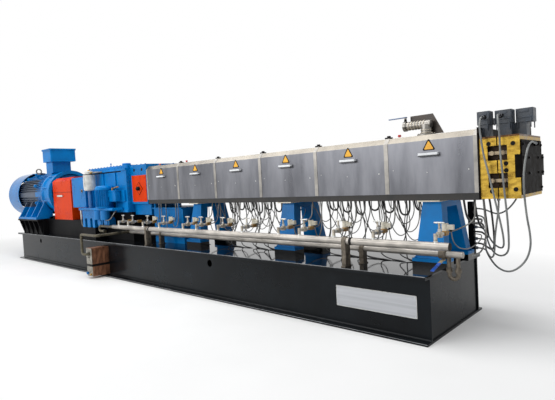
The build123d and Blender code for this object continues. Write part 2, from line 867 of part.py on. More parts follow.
# Lantern with a window on each side, closed by orange plates
lantern_end_x = cover_start_x - 2
lantern_center_x = (gearbox_end_x + lantern_end_x) / 2
with BuildPart() as lantern_housing:
    with BuildSketch(section_plane(gearbox_end_x)):
        with Locations((0, lantern_bottom_z)):
            Rectangle(
                2 * lantern_half_width,
                lantern_top_z - lantern_bottom_z,
                align=(Align.CENTER, Align.MIN),
            )
        with Locations((0, (lantern_bottom_z + lantern_top_z) / 2)):
            Rectangle(
                2 * (lantern_half_width - lantern_wall),
                lantern_top_z - lantern_bottom_z - 2 * lantern_wall,
                mode=Mode.SUBTRACT,
            )
    extrude(amount=lantern_end_x - gearbox_end_x)
    with BuildSketch(section_plane(gearbox_end_x)):
        with Locations((0, lantern_leg_bottom_z)):
            Rectangle(
                2 * (lantern_half_width - 2 * lantern_wall),
                lantern_bottom_z - lantern_leg_bottom_z,
                align=(Align.CENTER, Align.MIN),
            )
    extrude(amount=lantern_end_x - gearbox_end_x)
    for wall_x in (gearbox_end_x, lantern_end_x - lantern_wall):
        with BuildSketch(section_plane(wall_x)):
            with Locations((0, (lantern_bottom_z + lantern_top_z) / 2)):
                Rectangle(2 * lantern_half_width, lantern_top_z - lantern_bottom_z)
        extrude(amount=lantern_wall)
    with BuildSketch(front_plane(0)):
        with Locations((lantern_center_x, lantern_plate_z)):
            Rectangle(
                lantern_plate_width - 2 * lantern_window_margin,
                lantern_plate_height - 2 * lantern_window_margin,
            )
        with Locations((lantern_center_x, lantern_hole_z)):
            with GridLocations(lantern_hole_pitch, 1, 2, 1):
                Circle(lantern_hole_radius)
    extrude(amount=2 * lantern_half_width, both=True, mode=Mode.SUBTRACT)
lantern_housing.part.label = "lantern_housing"
export_step(lantern_housing.part, "parts/lantern_housing.step")

plate_center_x = lantern_center_x + lantern_plate_shift
with BuildPart() as lantern_cover_plates:
    for side in (-1, 1):
        with BuildSketch(front_plane(side * lantern_half_width)):
            with Locations((plate_center_x, lantern_plate_z)):
                Rectangle(lantern_plate_width, lantern_plate_height)
        extrude(amount=-side * lantern_plate_thickness)
        plate_face_y = side * (lantern_half_width + lantern_plate_thickness)
        with BuildSketch(front_plane(plate_face_y)):
            with Locations((plate_center_x, lantern_plate_z)):
                RegularPolygon(lantern_diamond_radius, 4)
        extrude(amount=-side * lantern_diamond_thickness)
        with BuildSketch(front_plane(plate_face_y)):
            with Locations((plate_center_x, lantern_plate_z)):
                Circle(lantern_knob_radius / 2)
        extrude(amount=-side * lantern_knob_neck)
        with Locations((plate_center_x, plate_face_y + side * lantern_knob_neck, lantern_plate_z)):
            Sphere(lantern_knob_radius)
lantern_cover_plates.part.label = "lantern_cover_plates"
export_step(lantern_cover_plates.part, "parts/lantern_cover_plates.step")

# Lubrication unit in front of the gearbox
tank_center_x = tank_start_x + tank_length / 2
with BuildPart() as oil_tank:
    with BuildSketch(Plane.XY.offset(tank_bottom_z)):
        with Locations((tank_center_x, tank_front_y + tank_depth / 2)):
            Rectangle(tank_length, tank_depth)
        with Locations((tank_notch_x, -gearbox_half_width)):
            Rectangle(tank_length, tank_depth, align=(Align.MIN, Align.MIN), mode=Mode.SUBTRACT)
    extrude(amount=tank_height)
oil_tank.part.label = "oil_tank"
export_step(oil_tank.part, "parts/oil_tank.step")

canister_top_z = filter_bottom_z + filter_height
with BuildPart() as oil_filter:
    with BuildSketch(front_plane(filter_y)):
        with BuildLine():
            Polyline(
                (filter_x, platform_top_z),
                (filter_x + filter_column_radius, platform_top_z),
                (filter_x + filter_column_radius, filter_bottom_z),
                (filter_x + filter_radius - filter_rim, filter_bottom_z),
                (filter_x + filter_radius, filter_bottom_z + filter_rim),
                (filter_x + filter_radius, canister_top_z),
                (filter_x + filter_head_radius, canister_top_z),
                (filter_x + filter_head_radius, canister_top_z + filter_head_height - filter_rim),
                (filter_x + filter_head_radius - filter_rim, canister_top_z + filter_head_height),
                (filter_x, canister_top_z + filter_head_height),
                close=True,
            )
        make_face()
    revolve(axis=Axis((filter_x, filter_y, 0), (0, 0, 1)))
oil_filter.part.label = "oil_filter"
export_step(oil_filter.part, "parts/oil_filter.step")

# Vertical pump motor: a finned barrel on a foot flange, closed by a domed fan cover
fan_cover_z = platform_top_z + pump_motor_height
pump_motor_rim = pump_motor_radius + pump_motor_fin
with BuildPart() as oil_pump_motor:
    with BuildSketch(Plane.XY.offset(platform_top_z)):
        with Locations((pump_motor_x, pump_motor_y)):
            Circle(pump_motor_rim)
    extrude(amount=pump_motor_foot_height)
    with BuildSketch(Plane.XY.offset(platform_top_z + pump_motor_foot_height)):
        with Locations((pump_motor_x, pump_motor_y)):
            Circle(pump_motor_radius)
            with PolarLocations(pump_motor_radius, int(360 / pump_motor_fin_pitch)):
                Rectangle(2 * pump_motor_fin - 4, pump_motor_fin / 2)
    extrude(amount=pump_motor_height - pump_motor_foot_height)
    with BuildSketch(Plane.XY.offset(fan_cover_z)):
        with Locations((pump_motor_x, pump_motor_y)):
            Circle(pump_motor_rim)
    extrude(amount=pump_motor_dome_height)
    dome_rim = oil_pump_motor.faces().sort_by(Axis.Z)[-1].edges()
    fillet(dome_rim, radius=0.8 * pump_motor_dome_height)
oil_pump_motor.part.label = "oil_pump_motor"
export_step(oil_pump_motor.part, "parts/oil_pump_motor.step")

# Stand: a shelf with a rounded nose over a cast box with two arched windows
platform_bottom_z = platform_top_z - platform_thickness
stand_height = platform_bottom_z - pump_stand_foot_z
stand_back_y = -gearbox_half_width - gearbox_foot_overhang
with BuildPart() as oil_pump_stand:
    with BuildSketch(Plane.XY.offset(platform_bottom_z)):
        with Locations((platform_start_x, platform_front_y)):
            Rectangle(platform_length, stand_back_y - platform_front_y, align=(Align.MIN, Align.MIN))
    extrude(amount=platform_thickness)
    nose_edges = oil_pump_stand.edges().filter_by(Axis.X).sort_by(Axis.Y)[:2]
    fillet(nose_edges, radius=platform_thickness / 3)
    with BuildSketch(Plane.XY.offset(pump_stand_foot_z)):
        with Locations((pump_stand_start_x, pump_stand_front_y)):
            Rectangle(pump_stand_length, stand_back_y - pump_stand_front_y, align=(Align.MIN, Align.MIN))
    extrude(amount=stand_height)
    with BuildSketch(front_plane(pump_stand_front_y)):
        for share in (0.28, 0.72):
            with Locations((pump_stand_start_x + share * pump_stand_length, pump_arch_bottom_z)):
                SlotCenterToCenter(pump_arch_height - pump_arch_width, pump_arch_width, rotation=90)
    extrude(amount=2 * pump_stand_front_y, mode=Mode.SUBTRACT)
oil_pump_stand.part.label = "oil_pump_stand"
export_step(oil_pump_stand.part, "parts/oil_pump_stand.step")

# Pumps hung below the shelf: a neck, a round casing across and a suction flange towards the operator
pump_front_y = pump_body_y - pump_body_length / 2
with BuildPart() as oil_pumps:
    for pump_x in pump_body_x:
        with BuildSketch(Plane.XY.offset(platform_bottom_z)):
            with Locations((pump_x, pump_motor_y)):
                Circle(pump_neck_radius)
        extrude(amount=pump_body_z + pump_body_radius / 2 - platform_bottom_z)
        with BuildSketch(front_plane(pump_front_y)):
            with Locations((pump_x, pump_body_z)):
                Circle(pump_body_radius)
        extrude(amount=-pump_body_length)
        with BuildSketch(front_plane(pump_front_y)):
            with Locations((pump_x, pump_body_z)):
                Circle(pump_flange_radius)
        extrude(amount=pump_flange_length)
oil_pumps.part.label = "oil_pumps"
export_step(oil_pumps.part, "parts/oil_pumps.step")

# Rails, barrel and covers
cover_end_x = cover_start_x + cover_count * cover_pitch
rail_top_z = cover_bottom_z
rail_bottom_z = cover_bottom_z - rail_height
rail_outer_y = cover_half_width - rail_inset
barrel_count = cover_count * barrels_per_cover
barrel_pitch = cover_pitch / barrels_per_cover
barrel_flange_bottom_z = screw_axis_z - barrel_half_height - barrel_flange
with BuildPart() as barrel_rail:
    for side in (-1, 1):
        with BuildSketch(Plane.XY.offset(rail_bottom_z)):
            with Locations((cover_start_x, side * (rail_outer_y - rail_width / 2))):
                Rectangle(cover_end_x - cover_start_x, rail_width, align=(Align.MIN, Align.CENTER))
        extrude(amount=rail_height)
    for number in range(barrel_count + 1):
        tie_x = min(max(cover_start_x + number * barrel_pitch, cover_start_x + 30), cover_end_x - 30)
        with BuildSketch(Plane.XY.offset(rail_bottom_z)):
            with Locations((tie_x, 0)):
                Rectangle(60, 2 * rail_outer_y - rail_width)
        extrude(amount=rail_height)
        with BuildSketch(Plane.XY.offset(rail_top_z)):
            with Locations((tie_x, 0)):
                Rectangle(60, 2 * barrel_half_width)
        extrude(amount=barrel_flange_bottom_z - rail_top_z)
barrel_rail.part.label = "barrel_rail"
export_step(barrel_rail.part, "parts/barrel_rail.step")

with BuildPart() as barrel:
    with BuildSketch(section_plane(lantern_end_x)):
        with Locations((0, screw_axis_z)):
            Rectangle(2 * barrel_half_width, 2 * barrel_half_height)
    extrude(amount=cover_end_x - lantern_end_x)
    for number in range(barrel_count + 1):
        flange_x = min(
            max(cover_start_x + number * barrel_pitch, lantern_end_x + barrel_flange_thickness),
            cover_end_x - barrel_flange_thickness,
        )
        with BuildSketch(section_plane(flange_x - barrel_flange_thickness)):
            with Locations((0, screw_axis_z)):
                Rectangle(2 * (barrel_half_width + barrel_flange), 2 * (barrel_half_height + barrel_flange))
        extrude(amount=2 * barrel_flange_thickness)
barrel.part.label = "barrel"
export_step(barrel.part, "parts/barrel.step")

cover_shoulder_z = cover_bottom_z + cover_side_height
cover_top_z = cover_shoulder_z + cover_chamfer
cover_length = cover_pitch - cover_joint_gap


def cover_outline(inset):
    """Corner points of the cover's section, moved inwards by inset and open at the bottom."""
    half_width = cover_half_width - inset
    slope_shift = inset * tan(radians(22.5))
    return [
        (-half_width, cover_bottom_z),
        (half_width, cover_bottom_z),
        (half_width, cover_shoulder_z - slope_shift),
        (half_width - cover_chamfer + inset - slope_shift, cover_top_z - inset),
        (-half_width + cover_chamfer - inset + slope_shift, cover_top_z - inset),
        (-half_width, cover_shoulder_z - slope_shift),
    ]


with BuildPart() as barrel_covers:
    for number in range(cover_count):
        with BuildSketch(section_plane(cover_start_x + number * cover_pitch + cover_joint_gap / 2)):
            with BuildLine():
                Polyline(*cover_outline(0), close=True)
            make_face()
            with BuildLine():
                Polyline(*cover_outline(cover_wall), close=True)
            make_face(mode=Mode.SUBTRACT)
        extrude(amount=cover_length)
    with BuildSketch(Plane.XY.offset(cover_top_z)):
        with Locations((vent_x, 0)):
            Circle(vent_stack_radius + vent_stack_clearance)
    extrude(amount=-2 * cover_wall, mode=Mode.SUBTRACT)
barrel_covers.part.label = "barrel_covers"
export_step(barrel_covers.part, "parts/barrel_covers.step")

handle_bottom_z = cover_shoulder_z - handle_drop - handle_height / 2
with BuildPart() as cover_handles:
    for side in (-1, 1):
        with BuildSketch(Plane.XY.offset(handle_bottom_z)):
            for number in range(cover_count):
                handle_x = cover_start_x + (number + 0.5) * cover_pitch
                with Locations((handle_x, side * (cover_half_width + handle_reach / 2))):
                    Rectangle(handle_length, handle_reach)
                with Locations((handle_x, side * (cover_half_width + (handle_reach - handle_thickness) / 2))):
                    Rectangle(
                        handle_length - 2 * handle_foot,
                        handle_reach - handle_thickness,
                        mode=Mode.SUBTRACT,
                    )
        extrude(amount=handle_height)
        bar_y = side * (cover_half_width + handle_reach)
        outer_corners = cover_handles.edges().filter_by(Axis.Z).filter_by_position(Axis.Y, bar_y - 1, bar_y + 1)
        fillet(outer_corners, radius=handle_corner)
cover_handles.part.label = "cover_handles"
export_step(cover_handles.part, "parts/cover_handles.step")

# Supports: tapered legs spread to both sides below a head beam
support_foot_z = base_height + support_pad_height
support_foot_top_z = support_foot_z + support_foot_thickness
for number, support_x in enumerate(support_centers_x, start=1):
    with BuildPart() as barrel_support:
        with BuildSketch(section_plane(support_x - support_bottom_width / 2)):
            with BuildLine():
                Polyline(
                    (-support_leg_top_y - support_leg_thickness, rail_bottom_z),
                    (support_leg_top_y + support_leg_thickness, rail_bottom_z),
                    (support_leg_bottom_y + support_leg_thickness, support_foot_top_z),
                    (support_leg_bottom_y - support_leg_thickness, support_foot_top_z),
                    (support_leg_top_y - support_leg_thickness, rail_bottom_z - support_head_height),
                    (-support_leg_top_y + support_leg_thickness, rail_bottom_z - support_head_height),
                    (-support_leg_bottom_y + support_leg_thickness, support_foot_top_z),
                    (-support_leg_bottom_y - support_leg_thickness, support_foot_top_z),
                    close=True,
                )
            make_face()
        extrude(amount=support_bottom_width)
        with BuildSketch(front_plane(0)):
            with BuildLine():
                Polyline(
                    (support_x - support_bottom_width / 2, support_foot_top_z),
                    (support_x + support_bottom_width / 2, support_foot_top_z),
                    (support_x + support_top_width / 2, rail_bottom_z),
                    (support_x - support_top_width / 2, rail_bottom_z),
                    close=True,
                )
            make_face()
        extrude(amount=2 * support_leg_bottom_y, both=True, mode=Mode.INTERSECT)
        with BuildSketch(Plane.XY.offset(support_foot_z)):
            with Locations((support_x, support_leg_bottom_y), (support_x, -support_leg_bottom_y)):
                Rectangle(support_foot_length, support_foot_width)
        extrude(amount=support_foot_thickness)
    barrel_support.part.label = f"barrel_support_{number}"
    export_step(barrel_support.part, f"parts/barrel_support_{number}.step")

# Feed stand: a closed box with an overhanging top plate and four levelling screws up to the rails
feed_stand_top_z = rail_bottom_z - feed_stand_gap
screw_pitch_y = 2 * (rail_outer_y - rail_width + feed_stand_screw_radius + 2)
with BuildPart() as feed_stand:
    with BuildSketch(Plane.XY.offset(base_height)):
        with Locations((feed_stand_start_x, 0)):
            Rectangle(feed_stand_length, 2 * feed_stand_half_width, align=(Align.MIN, Align.CENTER))
    extrude(amount=feed_stand_top_z - feed_stand_cap_height - base_height)
    with BuildSketch(Plane.XY.offset(feed_stand_top_z - feed_stand_cap_height)):
        with Locations((feed_stand_start_x, 0)):
            Rectangle(
                feed_stand_length,
                2 * (feed_stand_half_width + feed_stand_cap_overhang),
                align=(Align.MIN, Align.CENTER),
            )
    extrude(amount=feed_stand_cap_height)
    with BuildSketch(Plane.XY.offset(feed_stand_top_z)):
        with Locations((feed_stand_start_x + feed_stand_length / 2, 0)):
            with GridLocations(feed_stand_length - 2 * feed_stand_screw_inset, screw_pitch_y, 2, 2):
                Circle(feed_stand_screw_radius)
    extrude(amount=feed_stand_gap)
feed_stand.part.label = "feed_stand"
export_step(feed_stand.part, "parts/feed_stand.step")

# Vent: stack through the cover, horizontal tube with a hood plate and a quarter-turn valve
barrel_top_z = screw_axis_z + barrel_half_height
with BuildPart() as vent_port:
    with BuildSketch(Plane.XY.offset(barrel_top_z)):
        with Locations((vent_x, 0)):
            Circle(vent_stack_radius)
    extrude(amount=vent_tube_z - barrel_top_z)
    with BuildSketch(Plane.XY.offset(cover_top_z + vent_flange_lift)):
        with Locations((vent_x, 0)):
            Circle(vent_stack_flange_radius)
    extrude(amount=vent_flange_thickness)
    with BuildSketch(section_plane(vent_x + vent_stack_radius)):
        with Locations((0, vent_tube_z)):
            Circle(vent_tube_radius)
    extrude(amount=-vent_tube_length - vent_stack_radius)
    with BuildSketch(section_plane(vent_x - vent_tube_length)):
        with Locations((0, vent_tube_z)):
            Circle(vent_tube_radius + 8)
    extrude(amount=24)
    with BuildSketch(Plane.XY.offset(vent_tube_z)):
        with Locations((vent_lever_x, 0)):
            Circle(vent_stem_radius)
    extrude(amount=vent_lever_z - vent_lever_thickness - vent_tube_z)
    with BuildSketch(Plane.XY.offset(cover_top_z)):
        with Locations((vent_x - vent_stack_radius, 0)):
            Rectangle(vent_base_length, 2 * vent_stack_radius, align=(Align.MAX, Align.CENTER))
    extrude(amount=vent_base_height)
vent_port.part.label = "vent_port"
export_step(vent_port.part, "parts/vent_port.step")

vent_hood_bottom_z = cover_top_z + vent_flange_lift + vent_flange_thickness
with BuildPart() as vent_hood:
    with BuildSketch(front_plane(vent_stack_radius + seat)):
        with BuildLine():
            Polyline(
                (vent_hood_start_x, vent_hood_top_z),
                (vent_hood_end_x, vent_hood_top_z),
                (vent_hood_foot_x, vent_hood_bottom_z),
                (vent_x - 4, vent_hood_bottom_z),
                (vent_x - 4, vent_tube_z + vent_tube_radius),
                (vent_hood_start_x, vent_tube_z + vent_tube_radius),
                close=True,
            )
        make_face()
    extrude(amount=-vent_hood_thickness)
vent_hood.part.label = "vent_hood"
export_step(vent_hood.part, "parts/vent_hood.step")

with BuildPart() as vent_valve_lever:
    with BuildSketch(Plane.XY.offset(vent_lever_z - vent_lever_thickness)):
        with Locations((vent_lever_x, 0)):
            Circle(vent_lever_width * 0.7)
            Rectangle(vent_lever_length, vent_lever_width, align=(Align.MAX, Align.CENTER))
    extrude(amount=vent_lever_thickness)
vent_valve_lever.part.label = "vent_valve_lever"
export_step(vent_valve_lever.part, "parts/vent_valve_lever.step")

# Die head: adapter plate, two bronze-coloured blocks tied by clamps, black front panel and plugs
adapter_end_x = cover_end_x + adapter_thickness
left_end_x = adapter_end_x + die_left_length
right_start_x = left_end_x + die_joint_gap
right_end_x = right_start_x + die_right_length
die_joint_x = (left_end_x + right_start_x) / 2
with BuildPart() as die_adapter_plate:
    with BuildSketch(section_plane(cover_end_x)):
        with Locations((0, adapter_bottom_z)):
            Rectangle(2 * adapter_half_width, adapter_top_z - adapter_bottom_z, align=(Align.CENTER, Align.MIN))
    extrude(amount=adapter_thickness)
die_adapter_plate.part.label = "die_adapter_plate"
export_step(die_adapter_plate.part, "parts/die_adapter_plate.step")


for block_name, block_start_x, block_length in (
    ("die_block_left", adapter_end_x, die_left_length),
    ("die_block_right", right_start_x, die_right_length),
):
    with BuildPart() as die_block:
        with BuildSketch(section_plane(block_start_x)):
            with Locations((0, die_bottom_z)):
                Rectangle(2 * die_half_width, die_top_z - die_bottom_z, align=(Align.CENTER, Align.MIN))
        extrude(amount=block_length)
        for side in (-1, 1):
            with BuildSketch(front_plane(side * die_half_width)):
                for clamp_z in clamp_heights:
                    with Locations((die_joint_x, clamp_z)):
                        Rectangle(clamp_pocket_length, clamp_pocket_height)
            extrude(amount=side * clamp_pocket_depth, mode=Mode.SUBTRACT)
        if block_name == "die_block_right":
            with BuildSketch(section_plane(left_end_x)):
                with Locations((0, screw_axis_z)):
                    Circle(die_spigot_radius)
            extrude(amount=die_joint_gap)
            with BuildSketch(section_plane(right_end_x)):
                with Locations((0, (nose_bottom_z + nose_top_z) / 2)):
                    Rectangle(2 * die_half_width, nose_top_z - nose_bottom_z)
            extrude(amount=-nose_depth, mode=Mode.SUBTRACT)
    die_block.part.label = block_name
    export_step(die_block.part, f"parts/{block_name}.step")

with BuildPart() as die_front_panel:
    with BuildSketch(section_plane(right_end_x)):
        with Locations((0, panel_bottom_z)):
            Rectangle(2 * panel_half_width, panel_top_z - panel_bottom_z, align=(Align.CENTER, Align.MIN))
    extrude(amount=panel_thickness)
    with BuildSketch(section_plane(right_end_x - nose_depth)):
        with Locations((0, (nose_bottom_z + nose_top_z) / 2)):
            Rectangle(2 * nose_half_width, nose_top_z - nose_bottom_z)
    extrude(amount=nose_depth + nose_overhang)
    with BuildSketch(section_plane(right_end_x + panel_thickness)):
        with Locations((die_connector_y, die_connector_z)):
            RectangleRounded(die_connector_size, die_connector_size, die_connector_size / 8)
    extrude(amount=die_connector_size)
die_front_panel.part.label = "die_front_panel"
export_step(die_front_panel.part, "parts/die_front_panel.step")

with BuildPart() as die_clamps:
    for side in (-1, 1):
        for clamp_z in clamp_heights:
            pocket_floor_y = side * (die_half_width - clamp_pocket_depth)
            with BuildSketch(front_plane(pocket_floor_y)):
                with Locations((die_joint_x, clamp_z)):
                    Rectangle(clamp_pocket_length, clamp_bar_height)
            extrude(amount=-side * (clamp_pocket_depth - clamp_bar_recess))
            with BuildSketch(front_plane(side * (die_half_width - clamp_bar_recess))):
                with Locations((die_joint_x, clamp_z)):
                    with GridLocations(clamp_screw_spacing, 1, 2, 1):
                        Circle(clamp_screw_radius)
            extrude(amount=-side * clamp_bar_recess)
die_clamps.part.label = "die_clamps"
export_step(die_clamps.part, "parts/die_clamps.step")

with BuildPart() as heater_plugs:
    for number, (plug_x, head_length) in enumerate(zip(plug_centers_x, plug_head_lengths)):
        plug_y = plug_first_y + number * plug_step_y
        base_length_x = head_length - 2 * plug_base_margin
        base_center_x = min(plug_x + plug_base_shift, right_end_x - base_length_x / 2)
        with BuildSketch(Plane.XY.offset(die_top_z)):
            with Locations((base_center_x, plug_y)):
                Rectangle(base_length_x, plug_depth - plug_base_margin)
        extrude(amount=plug_base_height)
        with BuildSketch(Plane.XY.offset(die_top_z + plug_base_height)):
            with Locations((plug_x, plug_y)):
                RectangleRounded(head_length, plug_depth, 6)
        extrude(amount=plug_head_height)
    with BuildSketch(section_plane(cover_end_x)):
        with Locations((0, adapter_bottom_z)):
            Rectangle(2 * adapter_half_width, adapter_top_z - adapter_bottom_z, align=(Align.CENTER, Align.MIN))
    extrude(amount=adapter_thickness, mode=Mode.SUBTRACT)
heater_plugs.part.label = "heater_plugs"
export_step(heater_plugs.part, "parts/heater_plugs.step")

# Cooling water manifolds on posts along the operator's side
supply_end_x = base_end_x + supply_end_overhang
return_end_x = base_end_x + return_end_overhang
with BuildPart() as supply_manifold:
    with BuildSketch(section_plane(supply_start_x)):
        with Locations((supply_y, supply_z)):
            Circle(supply_pipe_radius)
    extrude(amount=supply_end_x - supply_start_x)
supply_manifold.part.label = "supply_manifold"
export_step(supply_manifold.part, "parts/supply_manifold.step")

with BuildPart() as return_manifold:
    with BuildSketch(section_plane(return_start_x)):
        with Locations((return_y, return_z)):
            Circle(return_pipe_radius)
    extrude(amount=return_end_x - return_start_x)
return_manifold.part.label = "return_manifold"
export_step(return_manifold.part, "parts/return_manifold.step")

for post_start_x, brackets_name in zip(bracket_x, ("manifold_brackets_left", "manifold_brackets_right")):
    with BuildPart() as manifold_brackets:
        for pipe_y, pipe_z, pipe_radius, shift in (
            (supply_y, supply_z, supply_pipe_radius, 0),
            (return_y, return_z, return_pipe_radius, bracket_step_x),
        ):
            with BuildSketch(section_plane(post_start_x + shift)):
                with Locations((pipe_y, base_height)):
                    Rectangle(
                        2 * (pipe_radius + bracket_saddle_margin),
                        pipe_z - base_height,
                        align=(Align.CENTER, Align.MIN),
                    )
                    Rectangle(
                        2 * (pipe_radius + bracket_saddle_margin + bracket_foot_margin),
                        bracket_foot_height,
                        align=(Align.CENTER, Align.MIN),
                    )
                with Locations((pipe_y, pipe_z)):
                    Circle(pipe_radius + bracket_saddle_margin)
                    Circle(pipe_radius, mode=Mode.SUBTRACT)
            extrude(amount=bracket_width)
    manifold_brackets.part.label = brackets_name
    export_step(manifold_brackets.part, f"parts/{brackets_name}.step")

# Valve stations on the supply manifold: riser, needle valve and solenoid valve in a row towards the barrel
station_last_x = base_end_x + station_end_overhang
station_x = [
    station_last_x - bay * station_bay - step for bay in range(station_bays) for step in station_steps
]
station_x.append(station_extra_x)
elbow_z = supply_z + supply_pipe_radius + riser_lift
needle_valve_y = supply_y + needle_valve_reach
needle_top_z = elbow_z + needle_valve_height / 2
solenoid_y = supply_y + solenoid_reach
with BuildPart() as station_piping:
    for x in station_x:
        with BuildSketch(Plane.XY.offset(supply_z)):
            with Locations((x, supply_y)):
                Circle(riser_radius)
        extrude(amount=elbow_z - supply_z + elbow_cap)
        with BuildSketch(front_plane(supply_y)):
            with Locations((x, elbow_z)):
                Circle(station_pipe_radius)
        extrude(amount=-solenoid_reach + solenoid_body_length / 2)
        with BuildSketch(Plane.XY.offset(elbow_z - needle_valve_height / 2)):
            with Locations((x, needle_valve_y)):
                Rectangle(needle_valve_size, needle_valve_size)
        extrude(amount=needle_valve_height)
        with BuildSketch(Plane.XY.offset(needle_top_z)):
            with Locations((x, needle_valve_y)):
                Circle(needle_stem_radius)
        extrude(amount=needle_stem_height)
        with BuildSketch(section_plane(x - handwheel_length / 2)):
            with Locations((needle_valve_y, needle_top_z + needle_stem_height)):
                Circle(handwheel_radius)
        extrude(amount=handwheel_length)
    with BuildSketch(section_plane(supply_start_x)):
        with Locations((supply_y, supply_z)):
            Circle(supply_pipe_radius)
    extrude(amount=supply_end_x - supply_start_x, mode=Mode.SUBTRACT)
station_piping.part.label = "station_piping"
export_step(station_piping.part, "parts/station_piping.step")

solenoid_bottom_z = elbow_z - solenoid_body_height / 2
coil_bottom_z = solenoid_bottom_z + solenoid_body_height
solenoid_plug_z = coil_bottom_z + (solenoid_coil_height - solenoid_plug_height) / 2
with BuildPart() as solenoid_valves:
    for x in station_x:
        with BuildSketch(Plane.XY.offset(solenoid_bottom_z)):
            with Locations((x, solenoid_y)):
                Rectangle(solenoid_body_width, solenoid_body_length)
        extrude(amount=solenoid_body_height)
        if x > station_coil_limit_x:
            with BuildSketch(Plane.XY.offset(coil_bottom_z)):
                with Locations((x, solenoid_y)):
                    Circle(solenoid_coil_radius)
            extrude(amount=solenoid_coil_height)
            with BuildSketch(Plane.XY.offset(solenoid_plug_z)):
                with Locations((x, solenoid_y)):
                    Rectangle(
                        solenoid_coil_radius + solenoid_plug_length,
                        solenoid_plug_width,
                        align=(Align.MIN, Align.CENTER),
                    )
            extrude(amount=solenoid_plug_height)
solenoid_valves.part.label = "solenoid_valves"
export_step(solenoid_valves.part, "parts/solenoid_valves.step")

# Bypass at the die end of the return manifold: ball valve, U-shaped leg and lever
bypass_valve_x = base_end_x + bypass_valve_overhang
bypass_leg_x = bypass_valve_x + bypass_leg_shift
bypass_bottom_z = return_z - bypass_drop
bypass_bend_radius = bypass_leg_spacing / 2
bypass_union_z = bypass_bottom_z + bypass_bend_radius + bypass_union_height / 2
with BuildPart() as bypass_loop:
    with BuildSketch(section_plane(bypass_valve_x - bypass_valve_length / 2)):
        with Locations((return_y, return_z)):
            Circle(bypass_valve_radius)
            Circle(return_pipe_radius, mode=Mode.SUBTRACT)
    extrude(amount=bypass_valve_length)
    with BuildSketch(Plane.XY.offset(return_z - bypass_valve_radius + 4)):
        with Locations((bypass_valve_x, return_y)):
            Circle(bypass_stem_radius)
    extrude(amount=-bypass_stem_length)
    with BuildLine(Plane.XZ.offset(-return_y)) as bypass_path:
        FilletPolyline(
            (bypass_leg_x, return_z),
            (bypass_leg_x, bypass_bottom_z),
            (bypass_leg_x + bypass_leg_spacing, bypass_bottom_z),
            (bypass_leg_x + bypass_leg_spacing, return_z),
            radius=bypass_bend_radius - 1,
        )
    with BuildSketch(Plane(origin=bypass_path.line @ 0, z_dir=bypass_path.line % 0)):
        Circle(bypass_leg_radius)
    sweep(path=bypass_path.line)
    with BuildSketch(Plane.XY.offset(bypass_union_z)):
        with Locations((bypass_leg_x + bypass_leg_spacing / 2, return_y)):
            with GridLocations(bypass_leg_spacing, 1, 2, 1):
                Circle(bypass_union_radius)
    extrude(amount=bypass_union_height)
    with BuildSketch(section_plane(bypass_valve_x)):
        with Locations((return_y, return_z)):
            Circle(return_pipe_radius)
    extrude(amount=2 * bypass_leg_spacing, mode=Mode.SUBTRACT)
bypass_loop.part.label = "bypass_loop"
export_step(bypass_loop.part, "parts/bypass_loop.step")

lever_top_z = return_z - bypass_valve_radius + 4 - bypass_stem_length
with BuildPart() as bypass_valve_lever:
    with BuildSketch(Plane.XY.offset(lever_top_z)):
        with Locations((bypass_valve_x, return_y)):
            Circle(bypass_lever_width * 0.7)
    extrude(amount=-bypass_lever_thickness)
    arm_drop = bypass_lever_length * tan(radians(bypass_lever_droop))
    with BuildSketch(section_plane(bypass_valve_x - bypass_lever_width / 2)):
        with BuildLine():
            Polyline(
                (return_y, lever_top_z),
                (return_y - 20, lever_top_z),
                (return_y - bypass_lever_length, lever_top_z - arm_drop),
                (return_y - bypass_lever_length, lever_top_z - arm_drop - bypass_lever_thickness),
                (return_y - 20, lever_top_z - bypass_lever_thickness),
                (return_y, lever_top_z - bypass_lever_thickness),
                close=True,
            )
        make_face()
    extrude(amount=bypass_lever_width)
bypass_valve_lever.part.label = "bypass_valve_lever"
export_step(bypass_valve_lever.part, "parts/bypass_valve_lever.step")

# Oil cooler: a plate pack on the web of the front beam, piped to both manifolds
exchanger_depth = -exchanger_front_y - web_outer_y
exchanger_fin_pitch = (exchanger_depth - 2 * exchanger_plate_thickness) / exchanger_fin_count
exchanger_x = exchanger_start_x + exchanger_length / 2
with BuildPart() as heat_exchanger:
    with BuildSketch(Plane.XY.offset(exchanger_bottom_z)):
        with Locations((exchanger_x, (exchanger_front_y - web_outer_y) / 2)):
            Rectangle(exchanger_length - 2 * exchanger_fin_depth, -exchanger_front_y - web_outer_y)
        for plate_y in (exchanger_front_y, -web_outer_y - exchanger_plate_thickness):
            with Locations((exchanger_x, plate_y + exchanger_plate_thickness / 2)):
                Rectangle(exchanger_length, exchanger_plate_thickness)
        for number in range(exchanger_fin_count):
            fin_y = exchanger_front_y + exchanger_plate_thickness + (number + 0.5) * exchanger_fin_pitch
            with Locations((exchanger_x, fin_y)):
                Rectangle(exchanger_length, exchanger_fin_thickness)
    extrude(amount=exchanger_height)
    with BuildSketch(Plane.XY.offset(exchanger_strap_z)):
        with Locations((exchanger_x, exchanger_front_y - exchanger_strap_thickness)):
            Rectangle(
                exchanger_length + 2 * exchanger_strap_thickness,
                exchanger_depth + exchanger_strap_thickness,
                align=(Align.CENTER, Align.MIN),
            )
    extrude(amount=exchanger_strap_height)
heat_exchanger.part.label = "heat_exchanger"
export_step(heat_exchanger.part, "parts/heat_exchanger.step")

